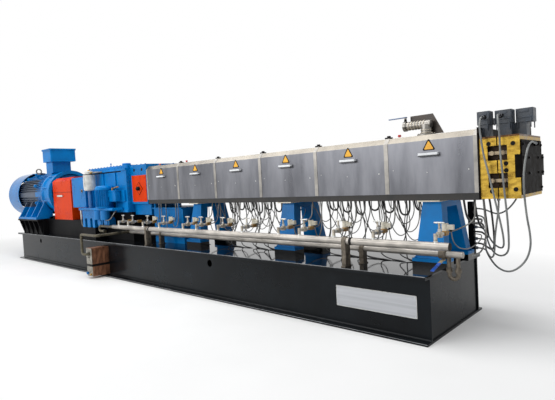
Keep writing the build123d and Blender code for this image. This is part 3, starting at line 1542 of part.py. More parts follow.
inlet_end_z = supply_z - inlet_drop
cooler_routes = [
    [
        (supply_start_x, supply_y, supply_z),
        (inlet_elbow_x, supply_y, supply_z),
        (inlet_elbow_x, supply_y, inlet_end_z),
        (inlet_end_x, supply_y, inlet_end_z),
    ],
    [
        (return_start_x, return_y, return_z),
        (exchanger_run_x, return_y, return_z),
        (exchanger_run_x, exchanger_run_y, return_z),
        (exchanger_drop_x, exchanger_run_y, return_z),
        (exchanger_drop_x, exchanger_run_y, exchanger_port_z),
        (exchanger_port_x, exchanger_run_y, exchanger_port_z),
        (exchanger_port_x, exchanger_front_y, exchanger_port_z),
    ],
]
with BuildPart() as exchanger_pipes:
    for route in cooler_routes:
        with BuildLine() as cooler_path:
            FilletPolyline(*route, radius=exchanger_pipe_bend)
        with BuildSketch(Plane(origin=cooler_path.line @ 0, z_dir=cooler_path.line % 0)):
            Circle(exchanger_pipe_radius)
        sweep(path=cooler_path.line)
        for end, direction in ((0, 1), (1, -1)):
            union_axis = (cooler_path.line % end) * direction
            with BuildSketch(Plane(origin=cooler_path.line @ end, z_dir=union_axis)):
                Circle(exchanger_union_radius)
            extrude(amount=exchanger_union_length)
exchanger_pipes.part.label = "exchanger_pipes"
export_step(exchanger_pipes.part, "parts/exchanger_pipes.step")

# Socket post behind the die
post_x = base_end_x - post_inset
with BuildPart() as connector_post:
    with BuildSketch(Plane.XY.offset(base_height)):
        with Locations((post_x, post_y)):
            Rectangle(post_width, post_depth, align=(Align.MIN, Align.MIN))
    extrude(amount=post_height)
connector_post.part.label = "connector_post"
export_step(connector_post.part, "parts/connector_post.step")

# Cables from the die head to the socket post: hand-laid routes, each bent no tighter than five diameters
post_face_x = post_x + post_width
socket_y = post_y + post_depth / 2
cable_routes = [
    [
        (4492, -215, 1592),
        (4492, -257, 1592),
        (4496, -300, 1566),
        (4502, -324, 1512),
        (4510, -328, 1428),
        (4522, -317, 1310),
        (4552, -315, 1180),
        (4572, -300, 1042),
        (4594, -278, 900),
        (4598, -218, 770),
        (4570, -115, 676),
        (4506, 15, 640),
        (4424, 125, 655),
        (4358, 222, 700),
        (4312, 318, 752),
        (4280, 392, 794),
        (4254, 438, 826),
        (4214, 460, 840),
        (post_face_x, socket_y, socket_heights[0]),
    ],
    [
        (4587, -155, 1600),
        (4587, -205, 1600),
        (4598, -258, 1592),
        (4612, -298, 1548),
        (4622, -310, 1470),
        (4620, -303, 1340),
        (4634, -309, 1190),
        (4638, -292, 1040),
        (4648, -286, 890),
        (4636, -230, 750),
        (4604, -130, 645),
        (4530, -10, 588),
        (4445, 105, 575),
        (4370, 222, 604),
        (4316, 322, 654),
        (4282, 392, 698),
        (4254, 438, 728),
        (4214, 460, 740),
        (post_face_x, socket_y, socket_heights[1]),
    ],
    [
        (4694, -5, 1600),
        (4694, 42, 1600),
        (4692, 102, 1590),
        (4684, 180, 1562),
        (4672, 252, 1505),
        (4660, 300, 1420),
        (4642, 322, 1310),
        (4616, 326, 1185),
        (4578, 330, 1065),
        (4525, 342, 960),
        (4450, 366, 885),
        (4375, 402, 858),
        (4308, 438, 874),
        (4240, 460, 900),
        (post_face_x, socket_y, socket_heights[2]),
    ],
    [
        (4756, 44, 1394),
        (4756, -4, 1394),
        (4762, -55, 1400),
        (4768, -115, 1401),
        (4774, -180, 1392),
        (4778, -245, 1372),
        (4780, -305, 1330),
        (4778, -345, 1262),
        (4772, -360, 1180),
        (4768, -350, 1095),
        (4766, -322, 1000),
        (4768, -296, 900),
        (4776, -268, 800),
        (4772, -240, 705),
        (4740, -225, 610),
        (4670, -200, 535),
        (4590, -140, 500),
        (4500, -50, 508),
        (4420, 60, 545),
        (4350, 175, 590),
        (4314, 285, 616),
        (4286, 380, 634),
        (4258, 436, 640),
        (4214, 460, 640),
        (post_face_x, socket_y, socket_heights[3]),
    ],
    [
        (4540, -100, 1027),
        (4540, -100, 975),
        (4530, -94, 905),
        (4512, -84, 815),
        (4492, -60, 715),
        (4470, 0, 620),
        (4430, 90, 560),
        (4378, 200, 532),
        (4328, 300, 536),
        (4290, 384, 546),
        (4256, 440, 556),
        (4212, 460, 560),
        (post_face_x, socket_y, socket_heights[4]),
    ],
]
for number, route in enumerate(cable_routes, start=1):
    steps = [Vector(*end) - Vector(*start) for start, end in zip(route, route[1:])]
    bend_radii = [
        0.45 * min(first.length, second.length) / tan(radians(first.get_angle(second)) / 2)
        for first, second in zip(steps, steps[1:])
    ]
    with BuildPart() as die_cable:
        with BuildLine() as cable_path:
            FilletPolyline(*route, radius=bend_radii)
        with BuildSketch(Plane(origin=cable_path.line @ 0, z_dir=cable_path.line % 0)):
            Circle(cable_diameter / 2)
        sweep(path=cable_path.line)
    cable_length = sum(edge.length for edge in cable_path.edges())
    cable_volume = pi * cable_diameter**2 / 4 * cable_length
    print(
        f"die_cable_{number} length {cable_length:.0f} smallest bend {min(bend_radii):.0f}",
        f"volume ratio {die_cable.part.volume / cable_volume:.4f}",
    )
    die_cable.part.label = f"die_cable_{number}"
    export_step(die_cable.part, f"parts/die_cable_{number}.step")
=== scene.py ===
"""Studio scene of a co-rotating twin-screw compounding extruder, dressed over its fixed frame.

Metres throughout.  X runs from the motor to the die, Y from the operator's side to the back, Z up.
"""

import json
from math import cos, pi, radians, sin, sqrt

import bmesh
import bpy
from mathutils import Matrix, Vector


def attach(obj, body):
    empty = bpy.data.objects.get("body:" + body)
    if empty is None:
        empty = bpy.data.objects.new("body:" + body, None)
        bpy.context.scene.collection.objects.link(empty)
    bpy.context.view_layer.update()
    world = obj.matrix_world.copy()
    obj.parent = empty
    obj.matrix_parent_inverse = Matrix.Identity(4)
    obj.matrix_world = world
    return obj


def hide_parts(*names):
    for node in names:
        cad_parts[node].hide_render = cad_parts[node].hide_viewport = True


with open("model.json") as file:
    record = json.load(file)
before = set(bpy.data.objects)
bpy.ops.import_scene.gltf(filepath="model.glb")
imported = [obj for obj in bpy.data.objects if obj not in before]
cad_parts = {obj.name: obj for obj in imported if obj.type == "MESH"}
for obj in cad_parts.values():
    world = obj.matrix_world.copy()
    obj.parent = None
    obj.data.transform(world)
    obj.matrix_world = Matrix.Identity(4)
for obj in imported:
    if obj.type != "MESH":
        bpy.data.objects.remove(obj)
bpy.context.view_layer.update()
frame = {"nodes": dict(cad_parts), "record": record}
nodes = frame["nodes"]

# Camera
CAMERA_AT = Vector((5.574, -3.5243, 1.2337))
YAW, PITCH, ROLL = radians(42.934), radians(2.469), radians(-3.185)
SENSOR_WIDTH, LENS, CLIP_END = 36.0, 29.26, 60.0


def add_camera():
    """Camera that looks along +Y, then turned left by the yaw, down by the pitch and rolled."""
    forward = Vector((-sin(YAW) * cos(PITCH), cos(YAW) * cos(PITCH), -sin(PITCH)))
    level_right = Vector((cos(YAW), sin(YAW), 0))
    level_up = level_right.cross(forward)
    right = level_right * cos(ROLL) + level_up * sin(ROLL)
    up = level_up * cos(ROLL) - level_right * sin(ROLL)
    data = bpy.data.cameras.new("camera")
    data.sensor_width = SENSOR_WIDTH
    data.lens = LENS
    data.clip_end = CLIP_END
    camera = bpy.data.objects.new("camera", data)
    axes = Matrix((right, up, -forward)).transposed()
    camera.matrix_world = Matrix.Translation(CAMERA_AT) @ axes.to_4x4()
    bpy.context.scene.collection.objects.link(camera)
    bpy.context.scene.camera = camera


add_camera()

# Materials
MIX_FACTOR, MIX_FIRST, MIX_SECOND, MIXED_COLOUR = 0, 6, 7, 2


def linear(*levels):
    """Linear colour of display levels from 0 to 255."""
    shares = [level / 255 for level in levels]
    curved = [share / 12.92 if share <= 0.04045 else ((share + 0.055) / 1.055) ** 2.4 for share in shares]
    return (*curved, 1.0)


def grey(value):
    return (value, value, value, 1.0)


def calculate(tree, operation, first, second, clamp=False):
    """Math node of a socket with another socket or a number."""
    node = tree.nodes.new("ShaderNodeMath")
    node.operation = operation
    node.use_clamp = clamp
    tree.links.new(first, node.inputs[0])
    if isinstance(second, (int, float)):
        node.inputs[1].default_value = second
    else:
        tree.links.new(second, node.inputs[1])
    return node.outputs[0]


def ramp(tree, source, low, high, low_at=0.35, high_at=0.65):
    """Colour ramp between two colours, driven by a factor socket."""
    node = tree.nodes.new("ShaderNodeValToRGB")
    for element, place, colour in zip(node.color_ramp.elements, (low_at, high_at), (low, high)):
        element.position = place
        element.color = colour
    tree.links.new(source, node.inputs[0])
    return node.outputs[0]


def noise(tree, scale, detail=3.0, stretch=(1, 1, 1), roughness=0.5):
    """Noise over object coordinates, stretched along the axes."""
    coordinates = tree.nodes.new("ShaderNodeTexCoord")
    mapping = tree.nodes.new("ShaderNodeMapping")
    mapping.inputs["Scale"].default_value = stretch
    texture = tree.nodes.new("ShaderNodeTexNoise")
    texture.inputs["Scale"].default_value = scale
    texture.inputs["Detail"].default_value = detail
    texture.inputs["Roughness"].default_value = roughness
    tree.links.new(coordinates.outputs["Object"], mapping.inputs["Vector"])
    tree.links.new(mapping.outputs["Vector"], texture.inputs["Vector"])
    return texture.outputs["Fac"]


def inside(tree, ranges):
    """1 where the object's own coordinates lie inside every (axis, low, high) range."""
    coordinates = tree.nodes.new("ShaderNodeTexCoord")
    split = tree.nodes.new("ShaderNodeSeparateXYZ")
    tree.links.new(coordinates.outputs["Object"], split.inputs[0])
    tests = []
    for axis, low, high in ranges:
        tests.append(calculate(tree, "GREATER_THAN", split.outputs[axis], low))
        tests.append(calculate(tree, "LESS_THAN", split.outputs[axis], high))
    mask = tests[0]
    for test in tests[1:]:
        mask = calculate(tree, "MULTIPLY", mask, test)
    return mask


def zone(dark, light, *ranges):
    """Another pair of colours, for the part of a surface inside the ranges."""
    return {"dark": dark, "light": light, "ranges": ranges}


def surface(
    name,
    dark,
    light,
    metallic=0.0,
    rough=(0.35, 0.5),
    patch=2.0,
    grain=180.0,
    bump=0.05,
    stretch=(1, 1, 1),
    coat=0.0,
    specular=0.5,
    second=None,
):
    """Two-tone material: wide patches in the colour and roughness, fine grain in the bump."""
    made = bpy.data.materials.new(name)
    made.use_nodes = True
    tree = made.node_tree
    shader = tree.nodes["Principled BSDF"]
    shader.inputs["Metallic"].default_value = metallic
    shader.inputs["Coat Weight"].default_value = coat
    shader.inputs["Coat Roughness"].default_value = 0.12
    shader.inputs["Specular IOR Level"].default_value = specular
    wide = noise(tree, patch, detail=5.0, stretch=stretch, roughness=0.6)
    colour = ramp(tree, wide, linear(*dark), linear(*light))
    if second:
        mix = tree.nodes.new("ShaderNodeMix")
        mix.data_type = "RGBA"
        other = ramp(tree, wide, linear(*second["dark"]), linear(*second["light"]))
        tree.links.new(inside(tree, second["ranges"]), mix.inputs[MIX_FACTOR])
        tree.links.new(colour, mix.inputs[MIX_FIRST])
        tree.links.new(other, mix.inputs[MIX_SECOND])
        colour = mix.outputs[MIXED_COLOUR]
    tree.links.new(colour, shader.inputs["Base Color"])
    roughness = ramp(tree, wide, grey(rough[0]), grey(rough[1]), 0.3, 0.7)
    tree.links.new(roughness, shader.inputs["Roughness"])
    raised = tree.nodes.new("ShaderNodeBump")
    raised.inputs["Strength"].default_value = bump
    raised.inputs["Distance"].default_value = 0.002
    tree.links.new(noise(tree, grain, stretch=stretch), raised.inputs["Height"])
    tree.links.new(raised.outputs["Normal"], shader.inputs["Normal"])
    return made


BLUE = ((0, 96, 158), (0, 120, 192))
look = {
    "base_paint": surface(
        "base_paint", (9, 12, 15), (18, 23, 27), rough=(0.16, 0.3), grain=60, bump=0.06, specular=0.13
    ),
    "nameplate_metal": surface(
        "nameplate_metal", (150, 152, 156), (192, 194, 198), metallic=0.35,
        patch=3, grain=60, bump=0.12, stretch=(0.06, 1, 5),
    ),
    "motor_paint": surface(
        "motor_paint", *BLUE, rough=(0.25, 0.4), grain=240, specular=0.16,
        second=zone((54, 62, 76), (84, 94, 110), ("X", -4.40, -3.56), ("Z", 0.99, 1.50)),
    ),
    "blue_paint": surface("blue_paint", *BLUE, rough=(0.22, 0.4), grain=70, bump=0.08, specular=0.12),
    "galvanised_steel": surface(
        "galvanised_steel", (112, 108, 98), (160, 156, 146), metallic=0.6, rough=(0.4, 0.6),
        patch=22, grain=120, bump=0.2,
    ),
    "orange_paint": surface(
        "orange_paint", (196, 50, 0), (208, 60, 2), rough=(0.24, 0.36),
        patch=5, grain=26, bump=0.04, specular=0.06,
    ),
    "filter_paint": surface(
        "filter_paint", (178, 178, 172), (210, 210, 204), rough=(0.3, 0.42), patch=12,
        second=zone((8, 74, 128), (16, 96, 158), ("Z", 0.9, 1.236)),
    ),
    "cast_metal": surface("cast_metal", *BLUE, rough=(0.35, 0.6), grain=90, bump=0.35, specular=0.3),
    "barrel_steel": surface(
        "barrel_steel", (36, 35, 34), (66, 62, 58), metallic=0.7, rough=(0.35, 0.55), patch=9
    ),
    "stainless": surface(
        "stainless", (112, 110, 106), (156, 152, 146), metallic=0.85, rough=(0.28, 0.45),
        patch=16, grain=160, bump=0.12,
    ),
    "die_bronze": surface(
        "die_bronze", (126, 98, 30), (192, 158, 62), metallic=0.8, rough=(0.24, 0.5),
        patch=14, grain=90, bump=0.5, stretch=(1, 1, 3),
        second=zone((66, 44, 24), (96, 66, 36), ("Z", 1.440, 1.46)),
    ),
    "black_paint": surface(
        "black_paint", (9, 8, 8), (26, 22, 19), rough=(0.45, 0.65),
        patch=14, grain=60, bump=0.6, specular=0.03,
    ),
    "clamp_steel": surface(
        "clamp_steel", (112, 98, 80), (160, 144, 120), metallic=0.7, rough=(0.3, 0.5),
        patch=24, grain=120, bump=0.2,
    ),
    "plug_plastic": surface(
        "plug_plastic", (32, 38, 46), (62, 70, 80), rough=(0.34, 0.6), patch=26, grain=120, bump=0.4
    ),
    "coil_plastic": surface(
        "coil_plastic", (196, 190, 170), (224, 218, 202), patch=20, rough=(0.35, 0.55),
        second=zone((132, 94, 36), (176, 134, 62), ("Z", 0.7, 0.8)),
    ),
    "lever_plastic": surface(
        "lever_plastic", (20, 66, 160), (36, 92, 196), patch=20, rough=(0.25, 0.4),
        second=zone((150, 136, 108), (188, 176, 150), ("Y", -0.372, -0.2)),
    ),
    "exchanger_metal": surface(
        "exchanger_metal", (98, 66, 48), (158, 112, 84), metallic=0.55, rough=(0.35, 0.6),
        patch=30, grain=70, bump=0.5, stretch=(1, 1, 0.3),
    ),
    "cable_sheath": surface(
        "cable_sheath", (104, 106, 106), (134, 136, 134), rough=(0.4, 0.6), patch=9, bump=0.1
    ),
}
extra = {
    "brass": surface(
        "brass", (150, 112, 48), (192, 152, 84), metallic=0.8, rough=(0.3, 0.45), patch=30, bump=0.15
    ),
    "yellow": surface("sign_yellow", (226, 160, 18), (240, 178, 34), patch=20),
    "dark": surface(
        "dark_trim", (10, 10, 11), (24, 22, 22), rough=(0.4, 0.6), patch=20, bump=0.15, specular=0.1
    ),
    "red": surface("red_knob", (168, 26, 18), (200, 40, 28), rough=(0.2, 0.32), patch=20),
    "bright": surface(
        "bright_trim", (178, 178, 174), (214, 214, 210), metallic=0.4, rough=(0.25, 0.4), patch=20, bump=0.1
    ),
    "bolt": surface(
        "bolt_steel", (98, 100, 106), (146, 148, 152), metallic=0.7, rough=(0.3, 0.5), patch=50, bump=0.15
    ),
    "tube": surface(
        "tube_steel", (96, 96, 94), (140, 138, 134), metallic=0.6, rough=(0.3, 0.5), patch=12, bump=0.1
    ),
    "hose": surface(
        "hose_black", (22, 22, 24), (44, 43, 44), rough=(0.4, 0.6), patch=16, grain=200, bump=0.3
    ),
    # Pale grey painted as the highlight along the base's front edges.
    "edge": surface("painted_edge_highlight", (110, 112, 114), (168, 170, 172), metallic=0.3, patch=6, bump=0.1),
    # Dark brown painted as the shade inside the die's pockets.
    "pocket_shade": surface(
        "pocket_painted_shade", (24, 16, 12), (60, 42, 28), metallic=0.3, rough=(0.4, 0.6),
        patch=20, grain=60, bump=0.3, specular=0.2,
    ),
    "matt": surface(
        "matt_black", (7, 7, 8), (16, 16, 18), rough=(0.45, 0.6), patch=4, grain=60, bump=0.1, specular=0.08
    ),
    "strip": surface(
        "joint_strip", (116, 114, 110), (152, 148, 142), metallic=0.7, rough=(0.3, 0.45), patch=6, bump=0.1
    ),
    "cream": surface(
        "cap_plate", (178, 170, 152), (206, 200, 184), metallic=0.1, rough=(0.4, 0.6), patch=20, bump=0.1
    ),
}
node_look = {
    "base_deck": surface(
        "deck_gloss", (7, 9, 12), (13, 16, 20), rough=(0.04, 0.1),
        patch=3, grain=14, bump=0.02, coat=0.08, specular=0.22,
    ),
    "motor_pedestal": extra["matt"],
    "gearbox_pedestal": extra["matt"],
    "connector_post": extra["matt"],
    "motor_fan_cowl": surface(
        "cowl_gloss", *BLUE, rough=(0.08, 0.16), patch=3, grain=7, bump=0.3, coat=0.1, specular=0.14
    ),
    # The chamfer and the top of the covers, above Z 1.4735, are painted lighter and warmer than the front:
    # painted light where these faces meet the overhead lamp.
    "barrel_covers": surface(
        "cover_steel", (94, 95, 100), (117, 118, 123), metallic=0.88, rough=(0.26, 0.42),
        patch=2.2, grain=220, bump=0.06, stretch=(2.4, 2.4, 0.5),
        second=zone((114, 109, 101), (142, 136, 126), ("Z", 1.4735, 1.53)),
    ),
    # Near-white upper part painted as the handle's lit top; the darker band on its lower part is painted as
    # the shade beneath the bar.
    "cover_handles": surface(
        "handle_painted_highlight_and_shade", (206, 208, 210), (232, 234, 236), metallic=0.1, rough=(0.25, 0.4), patch=9,
        second=zone((40, 40, 44), (70, 70, 74), ("Z", 1.34, 1.361)),
    ),
    "barrel_rail": surface(
        "rail_steel", (24, 24, 24), (46, 43, 40), metallic=0.3, rough=(0.4, 0.6), patch=7, bump=0.2
    ),
    "vent_hood": surface(
        "hood_steel", (34, 29, 26), (62, 53, 46), metallic=0.45, rough=(0.3, 0.5), patch=12, bump=0.15
    ),
    "vent_valve_lever": surface(
        "lever_blue_grey", (60, 78, 108), (92, 112, 146), metallic=0.2, rough=(0.3, 0.45), patch=20
    ),
    "supply_manifold": surface(
        "manifold_steel", (136, 132, 126), (186, 180, 172), metallic=0.55, rough=(0.35, 0.55),
        patch=9, grain=90, bump=0.15, stretch=(0.5, 1, 1),
    ),
    "exchanger_pipes": surface(
        "olive_pipe", (58, 54, 42), (100, 94, 76), metallic=0.5, rough=(0.4, 0.6),
        patch=26, grain=100, bump=0.4,
    ),
    "bypass_loop": surface(
        "rough_pipe", (68, 62, 54), (118, 109, 96), metallic=0.5, rough=(0.45, 0.65),
        patch=30, grain=90, bump=0.5,
    ),
    "station_piping": surface(
        "fitting_steel", (144, 136, 122), (196, 188, 174), metallic=0.45, rough=(0.35, 0.55),
        patch=30, grain=110, bump=0.25,
    ),
}
node_look["return_manifold"] = node_look["supply_manifold"]
for side in ("left", "right"):
    node_look["manifold_brackets_" + side] = node_look["bypass_loop"]

slot_of = {entry["node"]: entry["material_slot"] for entry in frame["record"]["subparts"]}
for name, thing in nodes.items():
    thing.data.materials.clear()
    thing.data.materials.append(node_look.get(name, look[slot_of[name]]))

# Cables
CABLE_DIAMETER = 0.013
cable_routes = {
    "die_cable_1": [
        (4.492, -0.215, 1.592), (4.492, -0.257, 1.592), (4.496, -0.300, 1.566), (4.502, -0.324, 1.512),
        (4.510, -0.328, 1.428), (4.522, -0.317, 1.310), (4.552, -0.315, 1.180), (4.572, -0.300, 1.042),
        (4.594, -0.278, 0.900), (4.598, -0.218, 0.770), (4.570, -0.115, 0.676), (4.506, 0.015, 0.640),
        (4.424, 0.125, 0.655), (4.358, 0.222, 0.700), (4.312, 0.318, 0.752), (4.280, 0.392, 0.794),
        (4.254, 0.438, 0.826), (4.214, 0.460, 0.840), (4.168, 0.460, 0.840),
    ],
    "die_cable_2": [
        (4.587, -0.155, 1.600), (4.587, -0.205, 1.600), (4.598, -0.258, 1.592), (4.612, -0.298, 1.548),
        (4.622, -0.310, 1.470), (4.620, -0.303, 1.340), (4.634, -0.309, 1.190), (4.638, -0.292, 1.040),
        (4.648, -0.286, 0.890), (4.636, -0.230, 0.750), (4.604, -0.130, 0.645), (4.530, -0.010, 0.588),
        (4.445, 0.105, 0.575), (4.370, 0.222, 0.604), (4.316, 0.322, 0.654), (4.282, 0.392, 0.698),
        (4.254, 0.438, 0.728), (4.214, 0.460, 0.740), (4.168, 0.460, 0.740),
    ],
    "die_cable_3": [
        (4.694, -0.005, 1.600), (4.694, 0.042, 1.600), (4.692, 0.102, 1.590), (4.684, 0.180, 1.562),
        (4.672, 0.252, 1.505), (4.660, 0.300, 1.420), (4.642, 0.322, 1.310), (4.616, 0.326, 1.185),
        (4.578, 0.330, 1.065), (4.525, 0.342, 0.960), (4.450, 0.366, 0.885), (4.375, 0.402, 0.858),
        (4.308, 0.438, 0.874), (4.240, 0.460, 0.900), (4.168, 0.460, 0.900),
    ],
    "die_cable_4": [
        (4.756, 0.044, 1.394), (4.756, -0.004, 1.394), (4.762, -0.055, 1.400), (4.768, -0.115, 1.401),
        (4.774, -0.180, 1.392), (4.778, -0.245, 1.372), (4.780, -0.305, 1.330), (4.778, -0.345, 1.262),
        (4.772, -0.360, 1.180), (4.768, -0.350, 1.095), (4.766, -0.322, 1.000), (4.768, -0.296, 0.900),
        (4.776, -0.268, 0.800), (4.772, -0.240, 0.705), (4.740, -0.225, 0.610), (4.670, -0.200, 0.535),
        (4.590, -0.140, 0.500), (4.500, -0.050, 0.508), (4.420, 0.060, 0.545), (4.350, 0.175, 0.590),
        (4.314, 0.285, 0.616), (4.286, 0.380, 0.634), (4.258, 0.436, 0.640), (4.214, 0.460, 0.640),
        (4.168, 0.460, 0.640),
    ],
    "die_cable_5": [
        (4.540, -0.100, 1.027), (4.540, -0.100, 0.975), (4.530, -0.094, 0.905), (4.512, -0.084, 0.815),
        (4.492, -0.060, 0.715), (4.470, 0.000, 0.620), (4.430, 0.090, 0.560), (4.378, 0.200, 0.532),
        (4.328, 0.300, 0.536), (4.290, 0.384, 0.546), (4.256, 0.440, 0.556), (4.212, 0.460, 0.560),
        (4.168, 0.460, 0.560),
    ],
}


def add_lines(name, routes, radius, material, steps, facets):
    """Curve object with one smooth open line of the given radius along each route."""
    curve = bpy.data.curves.new(name, "CURVE")
    curve.dimensions = "3D"
    for route in routes:
        spline = curve.splines.new("NURBS")
        spline.points.add(len(route) - 1)
        for spline_point, point in zip(spline.points, route):
            spline_point.co = (*point, 1.0)
        spline.order_u = 3
        spline.use_endpoint_u = True
        spline.resolution_u = steps
    curve.bevel_depth = radius
    curve.bevel_resolution = facets
    curve.materials.append(material)
    lines = bpy.data.objects.new(name, curve)
    bpy.context.scene.collection.objects.link(lines)
    return lines


def add_cable(name, points):
    """Free cable from the die to the socket post."""
    cable = add_lines(name + "_line", [points], CABLE_DIAMETER / 2, look["cable_sheath"], steps=10, facets=4)
    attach(cable, "machine")
    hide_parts(name)


def add_tubes(name, routes, radius, material):
    """Rigid bent tubes, fixed at both ends."""
    tubes = add_lines(name, routes, radius, material, steps=5, facets=2)
    tubes.data.use_fill_caps = True
    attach(tubes, "machine")


for name, points in cable_routes.items():
    add_cable(name, points)


# Pieces
class Forms:
    """Bevelled blocks, rods, bolts and prisms gathered in one mesh."""

    def __init__(self):
        self.mesh = bmesh.new()

    def soften(self, edges, offset):
        bmesh.ops.bevel(self.mesh, geom=edges, offset=offset, segments=2, affect="EDGES", profile=0.6)

    def box(self, low, high, bevel=0.0015):
        corners = bmesh.ops.create_cube(self.mesh, size=1.0)["verts"]
        for corner in corners:
            corner.co = Vector([low[i] + (corner.co[i] + 0.5) * (high[i] - low[i]) for i in range(3)])
        if bevel:
            self.soften(list({edge for corner in corners for edge in corner.link_edges}), bevel)

    def rod(self, start, end, radius, sides=18, tip=None, bevel=0.0):
        """Straight rod, narrowed to the tip's radius at its end where one is given."""
        start, end = Vector(start), Vector(end)
        along = end - start
        placed = Matrix.Translation((start + end) / 2) @ along.to_track_quat("Z", "Y").to_matrix().to_4x4()
        made = bmesh.ops.create_cone(
            self.mesh,
            cap_ends=True,
            segments=sides,
            radius1=radius,
            radius2=radius if tip is None else tip,
            depth=along.length,
            matrix=placed,
        )["verts"]
        if bevel:
            rims = {edge for corner in made for edge in corner.link_edges if len(edge.link_faces) == 2}
            self.soften(
                [edge for edge in rims if max(len(face.verts) for face in edge.link_faces) > 4], bevel
            )

    def bolt(self, place, direction, size=0.009):
        """Washer and hexagon head on a face, pointing away from it."""
        place, direction = Vector(place), Vector(direction)
        washer, head = direction * size * 0.3, direction * size * 1.1
        self.rod(place, place + washer, size * 1.45, 14)
        self.rod(place, place + head, size, 6, bevel=size * 0.12)

    def prism(self, outline, low, high, axis):
        """Closed outline in the two other axes, drawn from low to high along the axis."""
        rings = []
        for level in (low, high):
            ring = []
            for first, second in outline:
                place = [first, second]
                place.insert(axis, level)
                ring.append(self.mesh.verts.new(place))
            rings.append(ring)
        bottom, top = rings
        self.mesh.faces.new(bottom)
        self.mesh.faces.new(top[::-1])
        count = len(outline)
        for at in range(count):
            after = (at + 1) % count
            self.mesh.faces.new((bottom[at], top[at], top[after], bottom[after]))

    def put(self, name, slot, material):
        """Turn the gathered forms into one piece of the machine."""
        bmesh.ops.recalc_face_normals(self.mesh, faces=self.mesh.faces)
        data = bpy.data.meshes.new(name)
        self.mesh.to_mesh(data)
        self.mesh.free()
        data.materials.append(material)
        data.shade_smooth()
        data.set_sharp_from_angle(angle=radians(32))
        piece = bpy.data.objects.new(name, data)
        bpy.context.scene.collection.objects.link(piece)
        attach(piece, "machine")


# Directions and places that several pieces share
UP, FRONT, RIGHT = (0, 0, 1), (0, -1, 0), (1, 0, 0)
SIDES = (-1, 1)
COVER_COUNT, COVER_START, COVER_PITCH = 6, 0.147, 0.72
COVER_FACE = 0.253
DRIVE_Z = 1.22
GUARD_SEAM = 1.235
FEED_STAND = (0.160, 0.850)
STAND_CLEAR_Y = -0.228
BARREL_Z, RAIL_Y, RAIL_Z = 1.130, 0.216, 1.035
SUPPLY_Y, SUPPLY_Z = -0.465, 0.710
RETURN_Y, RETURN_Z = -0.300, 0.628
VALVE_Z = 0.7825
COIL_Y, COIL_COUNT = -0.293, 11
POST_FACE, POST_Y = 4.166, 0.460
VENT_X, VENT_TUBE_Z = 3.98, 1.622
stations = [4.224, 3.725, 3.348, 2.971, 2.717, 2.218, 1.841, 1.464, 1.210, 0.711, 0.334, -0.043, -0.300]
supports = [4.085, 2.614, 1.143]


def around(count, first):
    """Directions evenly spread round a circle, from the first angle on."""
    turns = [first + n * 2 * pi / count for n in range(count)]
    return [(cos(turn), sin(turn)) for turn in turns]


def clipped_triangle(x, low, half):
    """Outline of an upright triangle of twice the half width, with its corners cut off."""
    cut = 0.1
    corners = [(-half, low), (half, low), (0, low + half * sqrt(3))]
    outline = []
    for at, (corner_x, corner_z) in enumerate(corners):
        for step in SIDES:
            other_x, other_z = corners[(at + step) % 3]
            outline.append((x + corner_x + (other_x - corner_x) * cut, corner_z + (other_z - corner_z) * cut))
    return outline


def add_cover_details():
    """Strips over the joints, brackets, screws, blank warning triangles, knobs and clips."""
    strips, brackets, screws = Forms(), Forms(), Forms()
    front = [(-0.2555, 1.072), (-0.2555, 1.474), (-0.209, 1.5205)]
    outer = front + [(-y, z) for y, z in reversed(front)]
    inner = [(y * 0.9905, z - 0.0024 if z > 1.4 else z) for y, z in outer]
    end_spans = {0: (0, 0.03), COVER_COUNT: (-0.036, -0.008)}
    for n in range(COVER_COUNT + 1):
        x = COVER_START + COVER_PITCH * n
        start, end = end_spans.get(n, (-0.018, 0.018))
        strips.prism(outer + inner[::-1], x + start, x + end, 0)
        if n not in end_spans:
            brackets.box((x - 0.03, -0.205, 1.520), (x + 0.022, -0.165, 1.532))
            brackets.box((x - 0.012, -0.2, 1.530), (x + 0.012, -0.18, 1.544))
            brackets.box((x - 0.022, 0.165, 1.520), (x + 0.022, 0.205, 1.536))
    strips.put("cover_joint_strips", "stainless", extra["strip"])
    brackets.put("cover_top_brackets", "black_paint", extra["dark"])

    rims, faces = Forms(), Forms()
    for n in range(COVER_COUNT):
        x = COVER_START + COVER_PITCH * (n + 0.5)
        for along, z, radius in ((0.289, 1.24, 0.0058), (-0.02, 1.232, 0.0040), (-0.30, 1.26, 0.0036)):
            for side in SIDES:
                foot, head = side * COVER_FACE, side * (COVER_FACE + 0.0025)
                screws.rod((x + along, foot, z), (x + along, head, z), radius, 12, tip=radius * 0.7)
        for forms, half, depth, middle_z in ((rims, 0.053, 0.0012, 1.427), (faces, 0.0385, 0.0020, 1.4265)):
            outline = clipped_triangle(x, middle_z - half / sqrt(3), half)
            forms.prism(outline, -COVER_FACE, -COVER_FACE - depth, 1)
    screws.put("cover_screws", "stainless", extra["bright"])
    rims.put("triangle_rims", "black_paint", extra["dark"])
    faces.put("triangle_faces", "orange_paint", extra["yellow"])

    knobs, clips = Forms(), Forms()
    knob_y = -0.15
    for x in (0.33, 0.93, 3.82):
        clips.box((x - 0.03, knob_y - 0.02, 1.517), (x + 0.03, knob_y + 0.02, 1.524))
        knobs.rod((x, knob_y, 1.523), (x, knob_y, 1.534), 0.009)
        knobs.rod((x, knob_y, 1.532), (x, knob_y, 1.547), 0.016, tip=0.011, bevel=0.003)
    knobs.put("cover_knobs", "orange_paint", extra["red"])
    clips.put("cover_clips", "stainless", extra["bright"])


